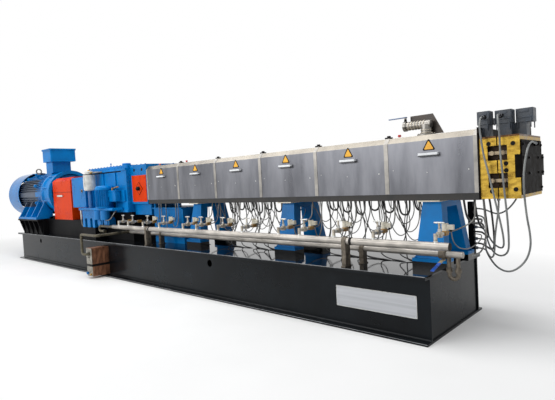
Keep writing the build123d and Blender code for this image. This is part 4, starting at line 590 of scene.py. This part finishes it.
def add_gearbox_details():
    """Bolts, dark strips painted as the shadow under the split flange, dark discs painted as the shade in the
    sight holes, the lantern's knob with its outline, and the dipstick.
    """
    bolts, plate_bolts, dark, stick = Forms(), Forms(), Forms(), Forms()
    for side in SIDES:
        for n in range(12):
            x = -1.47 + n * 0.098
            bolts.bolt((x, side * 0.3165, 1.528), UP, 0.010)
            bolts.bolt((x, side * 0.27852, 1.572), UP, 0.008)
        for n in range(7):
            bolts.bolt((-0.278, side * 0.288, 0.965 + 0.075 * n), RIGHT, 0.011)
        for x in (-1.43, -1.15, -0.80, -0.50):
            bolts.bolt((x, side * 0.312, 0.94), UP, 0.009)
        for x in (-0.24, -0.13, -0.02, 0.09):
            bolts.bolt((x, side * 0.225, 1.558), UP, 0.009)
        for x in (-0.205, 0.104):
            for z in (1.075, 1.383):
                plate_bolts.bolt((x, side * 0.2585, z), (0, side, 0), 0.006)
    bolts.put("gearbox_bolts", "blue_paint", look["blue_paint"])
    plate_bolts.put("lantern_plate_bolts", "orange_paint", look["orange_paint"])

    knob_x, knob_z = -0.0505, 1.229
    placed = Matrix.Translation((knob_x, -0.281, knob_z))
    bmesh.ops.create_uvsphere(dark.mesh, u_segments=24, v_segments=16, radius=0.0283, matrix=placed)
    dark.rod((knob_x, -0.2632, knob_z), (knob_x, -0.268, knob_z), 0.030, 24, tip=0.024)
    half, inner = 0.090, 0.93
    points = [(half, 0), (0, half), (-half, 0), (0, -half)]
    for start, end in zip(points, points[1:] + points[:1]):
        ring = [start, end, (end[0] * inner, end[1] * inner), (start[0] * inner, start[1] * inner)]
        dark.prism([(knob_x + across, knob_z + high) for across, high in ring], -0.2642, -0.2585, 1)
    # Painted shadow: thin dark strips under the overhang of the cover's split flange, at the front and the
    # back.
    dark.box((-1.515, -0.3042, 1.481), (-0.425, -0.3008, 1.4975), 0.001)
    dark.box((-1.515, 0.3008, 1.484), (-0.425, 0.3042, 1.497), 0.001)
    # Dark discs painted as the shade inside the lantern's two sight holes.
    for x in (-0.1665, 0.0335):
        dark.rod((x, -0.2536, 1.487), (x, -0.2528, 1.487), 0.021, 28)
    dark.put("gearbox_dark_trim_and_painted_shadow", "black_paint", extra["dark"])

    stick_x, stick_y = -0.92, -0.2
    stick.rod((stick_x, stick_y, 1.57), (stick_x, stick_y, 1.615), 0.006)
    stick.rod((stick_x, stick_y, 1.575), (stick_x, stick_y, 1.585), 0.014, 6)
    stick.rod((stick_x, stick_y, 1.61), (stick_x, stick_y, 1.632), 0.011, tip=0.008, bevel=0.003)
    stick.put("oil_dipstick", "blue_paint", look["blue_paint"])


def add_oil_details():
    """Boxes, bolts, fittings, gauge and tubes of the oil unit."""
    blue, fitting, dark, bright = Forms(), Forms(), Forms(), Forms()
    blue.box((-0.610, -0.425, 1.065), (-0.415, -0.350, 1.225), 0.006)
    blue.box((-0.615, -0.430, 1.205), (-0.410, -0.345, 1.222), 0.003)
    blue.box((-0.640, -0.430, 1.13), (-0.600, -0.36, 1.19), 0.004)
    blue.box((-0.600, -0.355, 1.08), (-0.430, -0.300, 1.20), 0.004)
    for x in (-0.595, -0.43):
        for z in (1.08, 1.19):
            blue.bolt((x, -0.425, z), FRONT, 0.006)
    for x in (-1.86, -1.64, -1.44):
        for z in (1.00, 1.435):
            blue.bolt((x, -0.400, z), FRONT, 0.006)
    for x in (-1.46, -1.27, -0.60, -0.45):
        blue.bolt((x, -0.47, 0.975), UP, 0.008)
    pump_x, pump_y, flange = -0.742, -0.43, 0.112
    for along, across in around(6, 0):
        blue.bolt((pump_x + flange * along, pump_y + flange * across, 0.999), UP, 0.006)
    blue.put("oil_unit_boxes", "blue_paint", look["blue_paint"])

    gauge_x, gauge_z = -1.53, 1.24
    fitting.rod((gauge_x, -0.400, gauge_z), (gauge_x, -0.409, gauge_z), 0.024, 26, bevel=0.002)
    dark.rod((gauge_x, -0.408, gauge_z), (gauge_x, -0.4105, gauge_z), 0.016, 22)
    fitting.rod((-0.57, -0.385, 1.222), (-0.57, -0.385, 1.262), 0.011, 6)
    fitting.rod((-0.57, -0.385, 1.25), (-0.44, -0.385, 1.268), 0.008)
    fitting.rod((-0.44, -0.385, 1.266), (-0.40, -0.385, 1.27), 0.012, 6)
    filter_x, filter_y, port_z = -1.18, -0.43, 1.505
    for start, end, radius in ((-1.27, -1.20, 0.020), (-1.14, -1.08, 0.017)):
        fitting.rod((start, filter_y, port_z), (end, filter_y, port_z), radius, 6, bevel=0.002)
    fitting.rod((filter_x, filter_y, 1.53), (filter_x, filter_y, 1.552), 0.022, 6, bevel=0.002)
    fitting.put("oil_fittings", "die_bronze", extra["brass"])
    dark.rod((filter_x, filter_y, 1.476), (filter_x, filter_y, 1.486), 0.082, 30)
    dark.put("oil_dark_parts", "black_paint", extra["dark"])
    bright.box((-1.205, -0.517, 1.29), (-1.155, -0.5145, 1.43), 0.0008)
    gland_x, gland_y = -1.495, -0.455
    bright.rod((gland_x, gland_y, 0.80), (gland_x, gland_y, 0.955), 0.011)
    bright.rod((gland_x, gland_y, 0.945), (gland_x, gland_y, 0.975), 0.017, 6)
    bright.put("oil_bright_parts", "stainless", extra["bright"])

    to_gearbox = [
        (-1.10, filter_y, port_z), (-1.02, filter_y, port_z), (-0.97, -0.41, port_z),
        (-0.96, -0.34, port_z), (-0.96, -0.30, port_z),
    ]
    to_tank = [
        (gland_x, gland_y, 0.81), (gland_x, gland_y, 0.72), (-1.48, -0.42, 0.66), (-1.45, -0.37, 0.64),
    ]
    from_pump = [
        (pump_x, pump_y, 0.80), (-0.66, -0.44, 0.79), (-0.58, -0.43, 0.82),
        (-0.53, -0.40, 0.90), (-0.52, -0.37, 0.94),
    ]
    add_tubes("oil_tubes", [to_gearbox, to_tank, from_pump], 0.010, extra["tube"])


def add_motor_details():
    """Bolts, raised castings and grease cap of the motor."""
    bolts, castings, cap = Forms(), Forms(), Forms()
    cowl_radius = 0.4395
    for across, high in around(4, pi / 12):
        place = (-4.42, cowl_radius * across, DRIVE_Z + cowl_radius * high)
        bolts.bolt(place, (0, across, high), 0.008)
    for side in SIDES:
        outward = (0, side, 0)
        for x in (-4.07, -3.72, -3.27):
            bolts.bolt((x, side * 0.505, 0.808), UP, 0.015)
        for x in (-3.48, -3.16):
            bolts.bolt((x, side * 0.20, 1.845), outward, 0.004)
        for x in (-3.47, -3.32, -3.17):
            bolts.bolt((x, side * 0.244, 2.04), outward, 0.005)
        for x, turn in ((-3.62, 52), (-3.62, 24), (-4.28, 52), (-3.62, -24)):
            across, high = side * cos(radians(turn)), sin(radians(turn))
            foot, tip = [(x, radius * across, DRIVE_Z + radius * high) for radius in (0.36, 0.415)]
            castings.rod(foot, tip, 0.034, 20, tip=0.028, bevel=0.004)
            castings.bolt(tip, (0, across, high), 0.009)
    bolts.put("motor_bolts", "blue_paint", look["blue_paint"])
    castings.put("motor_castings", "motor_paint", look["blue_paint"])
    cap.rod((-3.93, -0.20, 1.56), (-3.93, -0.22, 1.61), 0.018, bevel=0.003)
    cap.rod((-3.93, -0.217, 1.602), (-3.93, -0.226, 1.628), 0.026, 6, bevel=0.003)
    cap.put("motor_grease_cap", "blue_paint", look["blue_paint"])


def add_guard_details():
    """Seam and handle of the coupling guard."""
    seam, handle = Forms(), Forms()
    low, high = GUARD_SEAM - 0.0025, GUARD_SEAM + 0.0025
    for near, far in ((-0.3415, -0.3395), (0.3395, 0.3415)):
        seam.box((-2.839, near, low), (-2.096, far, high), 0.0004)
    seam.box((-2.096, -0.339, low), (-2.0935, 0.339, high), 0.0004)
    seam.put("guard_seam", "orange_paint", extra["dark"])
    low = GUARD_SEAM - 0.075
    handle.box((-2.62, -0.3665, low), (-2.40, -0.358, low + 0.03), 0.002)
    for x in (-2.61, -2.42):
        handle.box((x, -0.360, low + 0.004), (x + 0.01, -0.339, low + 0.026), 0.001)
    handle.put("guard_handle", "stainless", extra["bright"])


def add_die_details():
    """Sockets, dark sheets painted as the shade inside the pockets, panel bolts, plug bands and the cables'
    glands.
    """
    dark, steel, plugs, brown = Forms(), Forms(), Forms(), Forms()
    sockets = [(4.538, 1.402), (4.691, 1.393), (4.645, 1.263), (4.645, 1.217), (4.551, 1.078), (4.701, 1.088)]
    for side in SIDES:
        for x, z in sockets:
            dark.rod((x, side * 0.2698, z), (x, side * 0.2706, z), 0.0150, 24)
        deep, face = side * 0.2296, side * 0.2697
        # Dark sheets over the floor and the walls of each pocket: painted shade in the recess.
        near, far = sorted((deep, face))
        floor_near, floor_far = sorted((deep, deep + side * 0.001))
        for z in (1.337, 1.150):
            low, high = z - 0.0495, z + 0.0495
            for left, right in ((4.5305, 4.5875), (4.5965, 4.6535)):
                brown.box((left, floor_near, low), (right, floor_far, high), 0)
                brown.box((left, near, z + 0.0490), (right, far, z + 0.0498), 0)
                brown.box((left, near, z - 0.0498), (right, far, z - 0.0490), 0)
            for left, right in ((4.5302, 4.5310), (4.6530, 4.6538)):
                brown.box((left, near, low), (right, far, high), 0)
        for z in (1.08, 1.385):
            dark.bolt((4.740, side * 0.23, z), RIGHT, 0.008)
        for y in (0.24, 0.12):
            for z in (1.19, 1.295):
                dark.bolt((4.748, side * y, z), RIGHT, 0.008)

    for left, right, y in ((4.448, 4.532, -0.170), (4.548, 4.656, -0.110), (4.666, 4.774, -0.050)):
        for side in SIDES:
            face = y + side * 0.0455
            near, far = sorted((face, face + side * 0.004))
            plugs.box((left + 0.010, near, 1.500), (left + 0.017, far, 1.575), 0.001)
            plugs.box((right - 0.017, near, 1.500), (right - 0.010, far, 1.575), 0.001)
            near, far = sorted((face, face + side * 0.005))
            plugs.box((left + 0.010, near, 1.569), (right - 0.010, far, 1.577), 0.001)
        plugs.box((left + 0.004, y - 0.0465, 1.5405), (right - 0.004, y + 0.0465, 1.5485), 0.001)
        middle = (left + right) / 2
        plugs.box((middle - 0.028, y - 0.0475, 1.605), (middle + 0.028, y + 0.0475, 1.625), 0.002)
    for y in (-0.139, -0.079):
        steel.box((4.538, y - 0.012, 1.535), (4.546, y + 0.012, 1.585), 0.001)

    plug_glands = (("die_cable_1", -1), ("die_cable_2", -1), ("die_cable_3", 1))
    for name, way in plug_glands:
        x, y, z = cable_routes[name][0]
        steel.rod((x, y, z), (x, y + way * 0.020, z), 0.0135, 6, bevel=0.001)
        dark.rod((x, y + way * 0.018, z), (x, y + way * 0.030, z), 0.0115, tip=0.0080)
        dark.rod((x, y - way * 0.001, z), (x, y + way * 0.002, z), 0.021, 24)
    steel.rod((4.756, 0.046, 1.394), (4.756, 0.024, 1.394), 0.0115, 6, bevel=0.001)
    steel.rod((4.540, -0.100, 1.029), (4.540, -0.100, 1.004), 0.0125, 6, bevel=0.001)
    for route in cable_routes.values():
        z = route[-1][2]
        steel.rod((POST_FACE + 0.001, POST_Y, z), (POST_FACE + 0.026, POST_Y, z), 0.0135, 6, bevel=0.001)
        dark.rod((POST_FACE, POST_Y, z), (POST_FACE + 0.005, POST_Y, z), 0.019, 20)
    dark.put("die_dark_parts", "black_paint", extra["dark"])
    steel.put("die_fasteners", "clamp_steel", extra["bolt"])
    plugs.put("plug_bands", "plug_plastic", look["plug_plastic"])
    brown.put("die_pocket_painted_shade", "die_bronze", extra["pocket_shade"])


def add_valve_details(dark):
    """Nuts and T handle of each station, and the brass and cap of each coil."""
    nuts, brass = Forms(), Forms()
    stem_y = -0.393
    for n, x in enumerate(stations):
        nuts.rod((x, SUPPLY_Y, SUPPLY_Z + 0.006), (x, SUPPLY_Y, SUPPLY_Z + 0.038), 0.0195, 16, tip=0.014)
        for near, far in ((-0.451, -0.436), (-0.372, -0.352)):
            nuts.rod((x, near, VALVE_Z), (x, far, VALVE_Z), 0.0155, 6)
        nuts.rod((x, stem_y, 0.800), (x, stem_y, 0.824), 0.0125, 6)
        nuts.rod((x - 0.037, stem_y, 0.8685), (x + 0.037, stem_y, 0.8685), 0.0065, 12, bevel=0.001)
        if n < COIL_COUNT:
            brass.rod((x, COIL_Y, 0.792), (x, COIL_Y, 0.803), 0.0205, 6)
            dark.rod((x, COIL_Y, 0.851), (x, COIL_Y, 0.8555), 0.011, 6)
            dark.rod((x + 0.044, COIL_Y, 0.812), (x + 0.044, COIL_Y, 0.795), 0.008)
    nuts.put("valve_nuts", "stainless", extra["bright"])
    brass.put("valve_brass", "die_bronze", extra["brass"])


def supply_route(x, side):
    """From a valve up to the barrel, or in front of the feed stand to the rail."""
    if FEED_STAND[0] < x < FEED_STAND[1]:
        return [
            (x, -0.268, VALVE_Z), (x, -0.240, VALVE_Z), (x + side * 0.4, STAND_CLEAR_Y, 0.800),
            (x + side, STAND_CLEAR_Y, 0.870), (x + side, STAND_CLEAR_Y, 0.960),
            (x + side, STAND_CLEAR_Y, RAIL_Z),
        ]
    return [
        (x, -0.268, VALVE_Z), (x, -0.215, VALVE_Z), (x + side * 0.2, -0.180, 0.790),
        (x + side, -0.165, 0.860), (x + side, -0.160, 0.960), (x + side, -0.120, BARREL_Z),
    ]


def return_route(x):
    """From the return manifold up to the barrel, or in front of the feed stand to the rail."""
    if FEED_STAND[0] < x < FEED_STAND[1]:
        return [
            (x, -0.292, RETURN_Z), (x, -0.250, RETURN_Z), (x, -0.230, 0.650),
            (x, STAND_CLEAR_Y, 0.800), (x, STAND_CLEAR_Y, RAIL_Z),
        ]
    return [
        (x, -0.292, RETURN_Z), (x, -0.230, RETURN_Z), (x + 0.02, -0.150, 0.640),
        (x + 0.03, -0.080, 0.760), (x + 0.01, -0.050, 0.900), (x, -0.060, BARREL_Z),
    ]


def conduit_route(n, x):
    """From a coil to the socket post, the rear rail, or the front rail at the feed stand."""
    start = [(x + 0.044, COIL_Y, 0.797), (x + 0.046, -0.290, 0.735)]
    if n == 0:
        return start + [
            (4.275, -0.20, 0.66), (4.280, 0, 0.62), (4.275, 0.25, 0.64), (4.25, 0.40, 0.675),
            (4.21, POST_Y, 0.68), (POST_FACE, POST_Y, 0.68),
        ]
    if x > FEED_STAND[1]:
        return start + [
            (x + 0.06, -0.25, 0.66), (x + 0.08, -0.12, 0.585), (x + 0.10, 0.06, 0.56),
            (x + 0.12, 0.19, 0.62), (x + 0.11, RAIL_Y, 0.80), (x + 0.10, RAIL_Y, RAIL_Z),
        ]
    return start + [
        (x + 0.058, -0.262, 0.715), (x + 0.075, -0.236, 0.760), (x + 0.08, STAND_CLEAR_Y, 0.88),
        (x + 0.08, STAND_CLEAR_Y, RAIL_Z),
    ]


def add_station_tubes():
    """Thin tubes of the stations, led past the supports that stand near them."""
    supply, back = [], []
    for x in stations[:-1]:
        nearest = min(supports, key=lambda middle: abs(middle - x))
        side = 0.03
        if abs(nearest - x) < 0.16:
            side = 0.17 if x > nearest else -0.17
        shift = 0.19 if side > 0 else -0.22
        if x < 0:
            shift = 0.12
        supply.append(supply_route(x, side))
        back.append(return_route(x + shift))
    conduits = [conduit_route(n, x) for n, x in enumerate(stations[:COIL_COUNT])]
    add_tubes("station_supply_tubes", supply, 0.0055, extra["tube"])
    add_tubes("station_return_tubes", back, 0.0055, extra["tube"])
    add_tubes("coil_conduits", conduits, 0.0045, extra["tube"])


def clear_of_supports(x, gap):
    """Whether every support's middle is at least the gap away."""
    return min(abs(x - middle) for middle in supports) >= gap


def add_hanging_tubes():
    """Loops under the rear rail, tubes that drop to the deck, jumpers, and post conduits."""
    loops, drops, jumpers, conduits = [], [], [], []
    for n in range(21):
        x = 0.95 + n * 0.155
        if clear_of_supports(x + 0.05, 0.13):
            low = 0.915 - 0.02 * (n % 3)
            loops.append(
                [
                    (x, 0.215, 1.060), (x, 0.228, 0.980), (x + 0.012, 0.235, low),
                    (x + 0.055, 0.238, low - 0.02), (x + 0.100, 0.235, low), (x + 0.112, 0.228, 0.980),
                    (x + 0.112, 0.215, 1.060),
                ]
            )
    for n in range(26):
        x = 0.92 + n * 0.122
        if clear_of_supports(x, 0.17):
            lean = 0.03 * ((n * 7) % 5 - 2)
            drops.append(
                [
                    (x, 0.08, BARREL_Z), (x, 0.13, 0.93), (x + lean, 0.15, 0.80),
                    (x + lean * 1.6, 0.10 + 0.03 * (n % 3), 0.66), (x + lean * 2.4, 0.02, 0.545),
                    (x + 0.14 + lean, -0.06, 0.505), (min(x + 0.31, 4.10), -0.09, 0.505),
                    (min(x + 0.34, 4.12), -0.09, 0.485),
                ]
            )
    for n in range(38):
        x = 0.90 + n * 0.083
        if clear_of_supports(x, 0.15):
            low_x = x + 0.02 * ((n * 5) % 7 - 3)
            low = 0.70 + 0.035 * ((n * 3) % 5)
            jumpers.append(
                [
                    (x, -0.06, BARREL_Z), (x, -0.05, 0.95), (low_x, 0, low + 0.10),
                    (low_x + 0.02, 0.03, low), (low_x + 0.07, 0.05, low - 0.05),
                    (low_x + 0.13, 0.08, low), (low_x + 0.14, 0.12, low + 0.12),
                    (x + 0.12, 0.08, BARREL_Z),
                ]
            )
    for x, y, z in ((4.300, -0.14, 0.81), (4.335, -0.02, 0.775), (4.365, 0.09, 0.70), (4.39, 0.17, 0.60)):
        conduits.append(
            [
                (x, min(y, 0.11), BARREL_Z), (x + 0.004, y + 0.02, 0.965), (x, y + 0.10, z + 0.03),
                (x - 0.03, 0.30, z - 0.03), (4.25, 0.42, z), (4.21, POST_Y, z), (POST_FACE, POST_Y, z),
            ]
        )
    add_tubes("barrel_loops", loops, 0.0085, extra["hose"])
    add_tubes("barrel_drop_tubes", drops, 0.0050, extra["hose"])
    add_tubes("barrel_jumper_tubes", jumpers, 0.0042, extra["tube"])
    add_tubes("post_conduits", conduits, 0.0080, extra["hose"])


def add_manifold_details(dark):
    """Bands and welds on the manifolds, and collars on the cooler's pipes."""
    welds, collars = Forms(), Forms()
    dark.rod((4.3225, SUPPLY_Y, SUPPLY_Z), (4.3268, SUPPLY_Y, SUPPLY_Z), 0.0288, 28)
    for x in (0.432, 0.490, 3.460, 3.518):
        dark.rod((x - 0.012, SUPPLY_Y, SUPPLY_Z), (x + 0.012, SUPPLY_Y, SUPPLY_Z), 0.0305, 28)
    dark.put("piping_dark_parts", "black_paint", extra["dark"])
    for x in (4.02, 3.10, 2.45, 1.65, 0.9, 0.1):
        for y, z, radius in ((SUPPLY_Y, SUPPLY_Z, 0.0298), (RETURN_Y, RETURN_Z, 0.0252)):
            welds.rod((x - 0.004, y, z), (x + 0.004, y, z), radius, 28)
    welds.put("manifold_welds", "stainless", node_look["supply_manifold"])
    for start, end in (
        ((-0.46, SUPPLY_Y, SUPPLY_Z), (-0.88, SUPPLY_Y, SUPPLY_Z)),
        ((-0.88, SUPPLY_Y, 0.64), (-0.72, SUPPLY_Y, 0.64)),
        ((-0.33, RETURN_Y, RETURN_Z), (-0.33, -0.79, RETURN_Z)),
    ):
        start, end = Vector(start), Vector(end)
        step = (end - start).normalized() * 0.030
        collars.rod(start + step, start + step * 2, 0.0218, 16, bevel=0.002)
        collars.rod(end - step, end - step * 2, 0.0218, 16, bevel=0.002)
    collars.put("exchanger_pipe_collars", "stainless", node_look["exchanger_pipes"])


def add_piping_details():
    """Small parts of the cooling water."""
    dark = Forms()
    add_valve_details(dark)
    add_station_tubes()
    add_hanging_tubes()
    add_manifold_details(dark)


def add_vent_details():
    """Bands, flange bolts and dark parts of the vent port, with a dark disc painted as the shade inside the
    tube's open end.
    """
    bands, dark = Forms(), Forms()
    for n in range(6):
        x = 3.838 + 0.026 * n
        bands.rod((x - 0.005, 0, VENT_TUBE_Z), (x + 0.005, 0, VENT_TUBE_Z), 0.0368, 26, bevel=0.002)
    for z in (1.553, 1.575):
        bands.rod((VENT_X, 0, z - 0.004), (VENT_X, 0, z + 0.004), 0.0450, 28, bevel=0.002)
    flange = 0.062
    for along, across in around(8, pi / 8):
        bands.bolt((VENT_X + flange * along, flange * across, 1.542), UP, 0.006)
    bands.put("vent_bands", "stainless", node_look["station_piping"])
    # Dark disc painted as the shade inside the vent tube's open end.
    dark.rod((3.7885, 0, VENT_TUBE_Z), (3.7905, 0, VENT_TUBE_Z), 0.0335, 28)
    dark.rod((3.802, 0, 1.664), (3.802, 0, 1.684), 0.0125, 16, tip=0.010)
    dark.put("vent_dark_parts", "black_paint", extra["dark"])


def add_base_details():
    """Painted highlights along the base's front edges, cap plates and foot bolts of the supports, and the
    nameplate's border.
    """
    edge, cap, border, bolts = Forms(), Forms(), Forms(), Forms()
    # Thin pale strips on the front edges of the deck and the bottom flange: painted highlight where these
    # edges catch the light.
    for left, right, low, high in (
        (-4.172, -0.503, 0.4965, 0.5002),
        (-0.497, 4.172, 0.4965, 0.5002),
        (-4.172, 4.172, 0.0125, 0.0162),
    ):
        edge.box((left, -0.5504, low), (right, -0.5494, high), 0)
    edge.put("base_painted_edge_highlights", "base_paint", extra["edge"])
    for x in supports:
        cap.box((x - 0.088, -0.250, 1.0085), (x + 0.088, 0.250, 1.0188), 0.001)
        for along in (-0.115, 0.115):
            for y in (-0.26, -0.17, 0.17, 0.26):
                bolts.bolt((x + along, y, 0.578), UP, 0.009)
    cap.put("support_cap_plates", "stainless", extra["cream"])
    left, right, low, high = 3.3545, 4.0695, 0.165, 0.335
    width, inset = 0.004, 0.014
    for x0, x1, z0, z1 in (
        (left, right, low, low + width),
        (left, right, high - width, high),
        (left, left + width, low, high),
        (right - width, right, low, high),
    ):
        border.box((x0, -0.4790, z0), (x1, -0.4776, z1), 0.0004)
    for x in (left + inset, right - inset):
        for z in (low + inset, high - inset):
            border.rod((x, -0.478, z), (x, -0.4798, z), 0.0042, 12, tip=0.003)
    border.put("nameplate_border", "nameplate_metal", extra["bright"])
    return bolts


def add_cooler_details(bolts):
    """Front plate, strap, plug and drain of the oil cooler."""
    plate, dark, brass = Forms(), Forms(), Forms()
    port_x, port_z = -0.712, 0.30
    plate.box((-0.7955, -0.7290, 0.033), (-0.6295, -0.7245, 0.428), 0.001)
    plate.rod((port_x, -0.7285, port_z), (port_x, -0.733, port_z), 0.020, 26, bevel=0.001)
    plate.put("exchanger_front_plate", "galvanised_steel", look["galvanised_steel"])
    dark.rod((port_x, -0.7325, port_z), (port_x, -0.734, port_z), 0.013, 22)
    for left, right, far in (
        (-0.8005, -0.6245, -0.7285),
        (-0.6278, -0.6238, -0.4775),
        (-0.8012, -0.7972, -0.4775),
    ):
        dark.box((left, -0.7325, 0.174), (right, far, 0.204), 0.0008)
    dark.put("exchanger_strap", "black_paint", extra["dark"])
    bolts.rod((-0.765, -0.729, 0.075), (-0.765, -0.752, 0.075), 0.019, 20, bevel=0.002)
    bolts.put("base_blue_fasteners", "blue_paint", look["blue_paint"])
    brass.rod((-0.665, -0.729, 0.062), (-0.665, -0.750, 0.062), 0.014, 6, bevel=0.001)
    brass.put("exchanger_drain", "die_bronze", extra["brass"])


add_cover_details()
add_gearbox_details()
add_oil_details()
add_motor_details()
add_guard_details()
add_die_details()
add_piping_details()
add_vent_details()
add_cooler_details(add_base_details())


# Floor and light
def seen_directly(tree):
    """1 for rays that should meet the plain white background."""
    path = tree.nodes.new("ShaderNodeLightPath")
    total = path.outputs["Is Camera Ray"]
    for kind in ("Is Glossy Ray", "Is Transmission Ray"):
        total = calculate(tree, "ADD", total, path.outputs[kind], clamp=True)
    return total


def blend(tree, share, first, second, target):
    """Mix two shaders by a share and lead the result into a socket."""
    mix = tree.nodes.new("ShaderNodeMixShader")
    for socket, source in zip(mix.inputs, (share, first, second)):
        tree.links.new(source, socket)
    tree.links.new(mix.outputs[0], target)


def add_floor():
    """Pale floor that keeps the shadow near the machine and fades to white further off."""
    half, drop = 60, 0.001
    corners = [(-half, -half, 0), (half, -half, 0), (half, half, 0), (-half, half, 0)]
    mesh = bpy.data.meshes.new("floor")
    mesh.from_pydata(corners, [], [(0, 1, 2, 3)])
    floor = bpy.data.objects.new("floor", mesh)
    floor.location.z = -drop
    bpy.context.scene.collection.objects.link(floor)
    made = bpy.data.materials.new("floor_paint")
    made.use_nodes = True
    tree = made.node_tree
    shader = tree.nodes["Principled BSDF"]
    pale = ramp(tree, noise(tree, 0.7, detail=4.0), linear(236, 236, 235), linear(242, 242, 241))
    tree.links.new(pale, shader.inputs["Base Color"])
    shader.inputs["Roughness"].default_value = 0.6
    shader.inputs["Specular IOR Level"].default_value = 0.2
    coordinates = tree.nodes.new("ShaderNodeTexCoord")
    squeezed = tree.nodes.new("ShaderNodeMapping")
    squeezed.inputs["Scale"].default_value = (0.42, 1.0, 1.0)
    distance = tree.nodes.new("ShaderNodeVectorMath")
    distance.operation = "LENGTH"
    tree.links.new(coordinates.outputs["Object"], squeezed.inputs["Vector"])
    tree.links.new(squeezed.outputs["Vector"], distance.inputs[0])
    away = tree.nodes.new("ShaderNodeMapRange")
    away.inputs["From Min"].default_value = 1.2
    away.inputs["From Max"].default_value = 4.0
    tree.links.new(distance.outputs["Value"], away.inputs["Value"])
    share = calculate(tree, "MULTIPLY", away.outputs["Result"], seen_directly(tree))
    white = tree.nodes.new("ShaderNodeEmission")
    blend(tree, share, shader.outputs[0], white.outputs[0], tree.nodes["Material Output"].inputs["Surface"])
    mesh.materials.append(made)


def add_world():
    """Soft light all round, seen as plain white."""
    world = bpy.data.worlds.new("studio")
    world.use_nodes = True
    tree = world.node_tree
    soft = tree.nodes["Background"]
    soft.inputs["Color"].default_value = (0.92, 0.95, 1.0, 1)
    soft.inputs["Strength"].default_value = 0.32
    white = tree.nodes.new("ShaderNodeBackground")
    white.inputs["Color"].default_value = grey(1)
    target = tree.nodes["World Output"].inputs["Surface"]
    blend(tree, seen_directly(tree), soft.outputs[0], white.outputs[0], target)
    bpy.context.scene.world = world


def add_light(name, place, target, size, power):
    data = bpy.data.lights.new(name, "AREA")
    data.shape = "RECTANGLE"
    data.size, data.size_y = size
    data.energy = power
    lamp = bpy.data.objects.new(name, data)
    lamp.location = place
    lamp.rotation_euler = (Vector(target) - Vector(place)).to_track_quat("-Z", "Y").to_euler()
    bpy.context.scene.collection.objects.link(lamp)


add_floor()
add_world()
add_light("overhead", place=(0.5, -1.0, 6.5), target=(0.5, 0, 1), size=(11, 3), power=440)
add_light("front", place=(-2.0, -8.5, 4.0), target=(0.6, 0, 1.0), size=(9, 3), power=500)
add_light("end", place=(10.0, -1.0, 2.6), target=(4.5, 0, 1.1), size=(3, 3), power=14)

bpy.context.scene.view_settings.view_transform = "Standard"
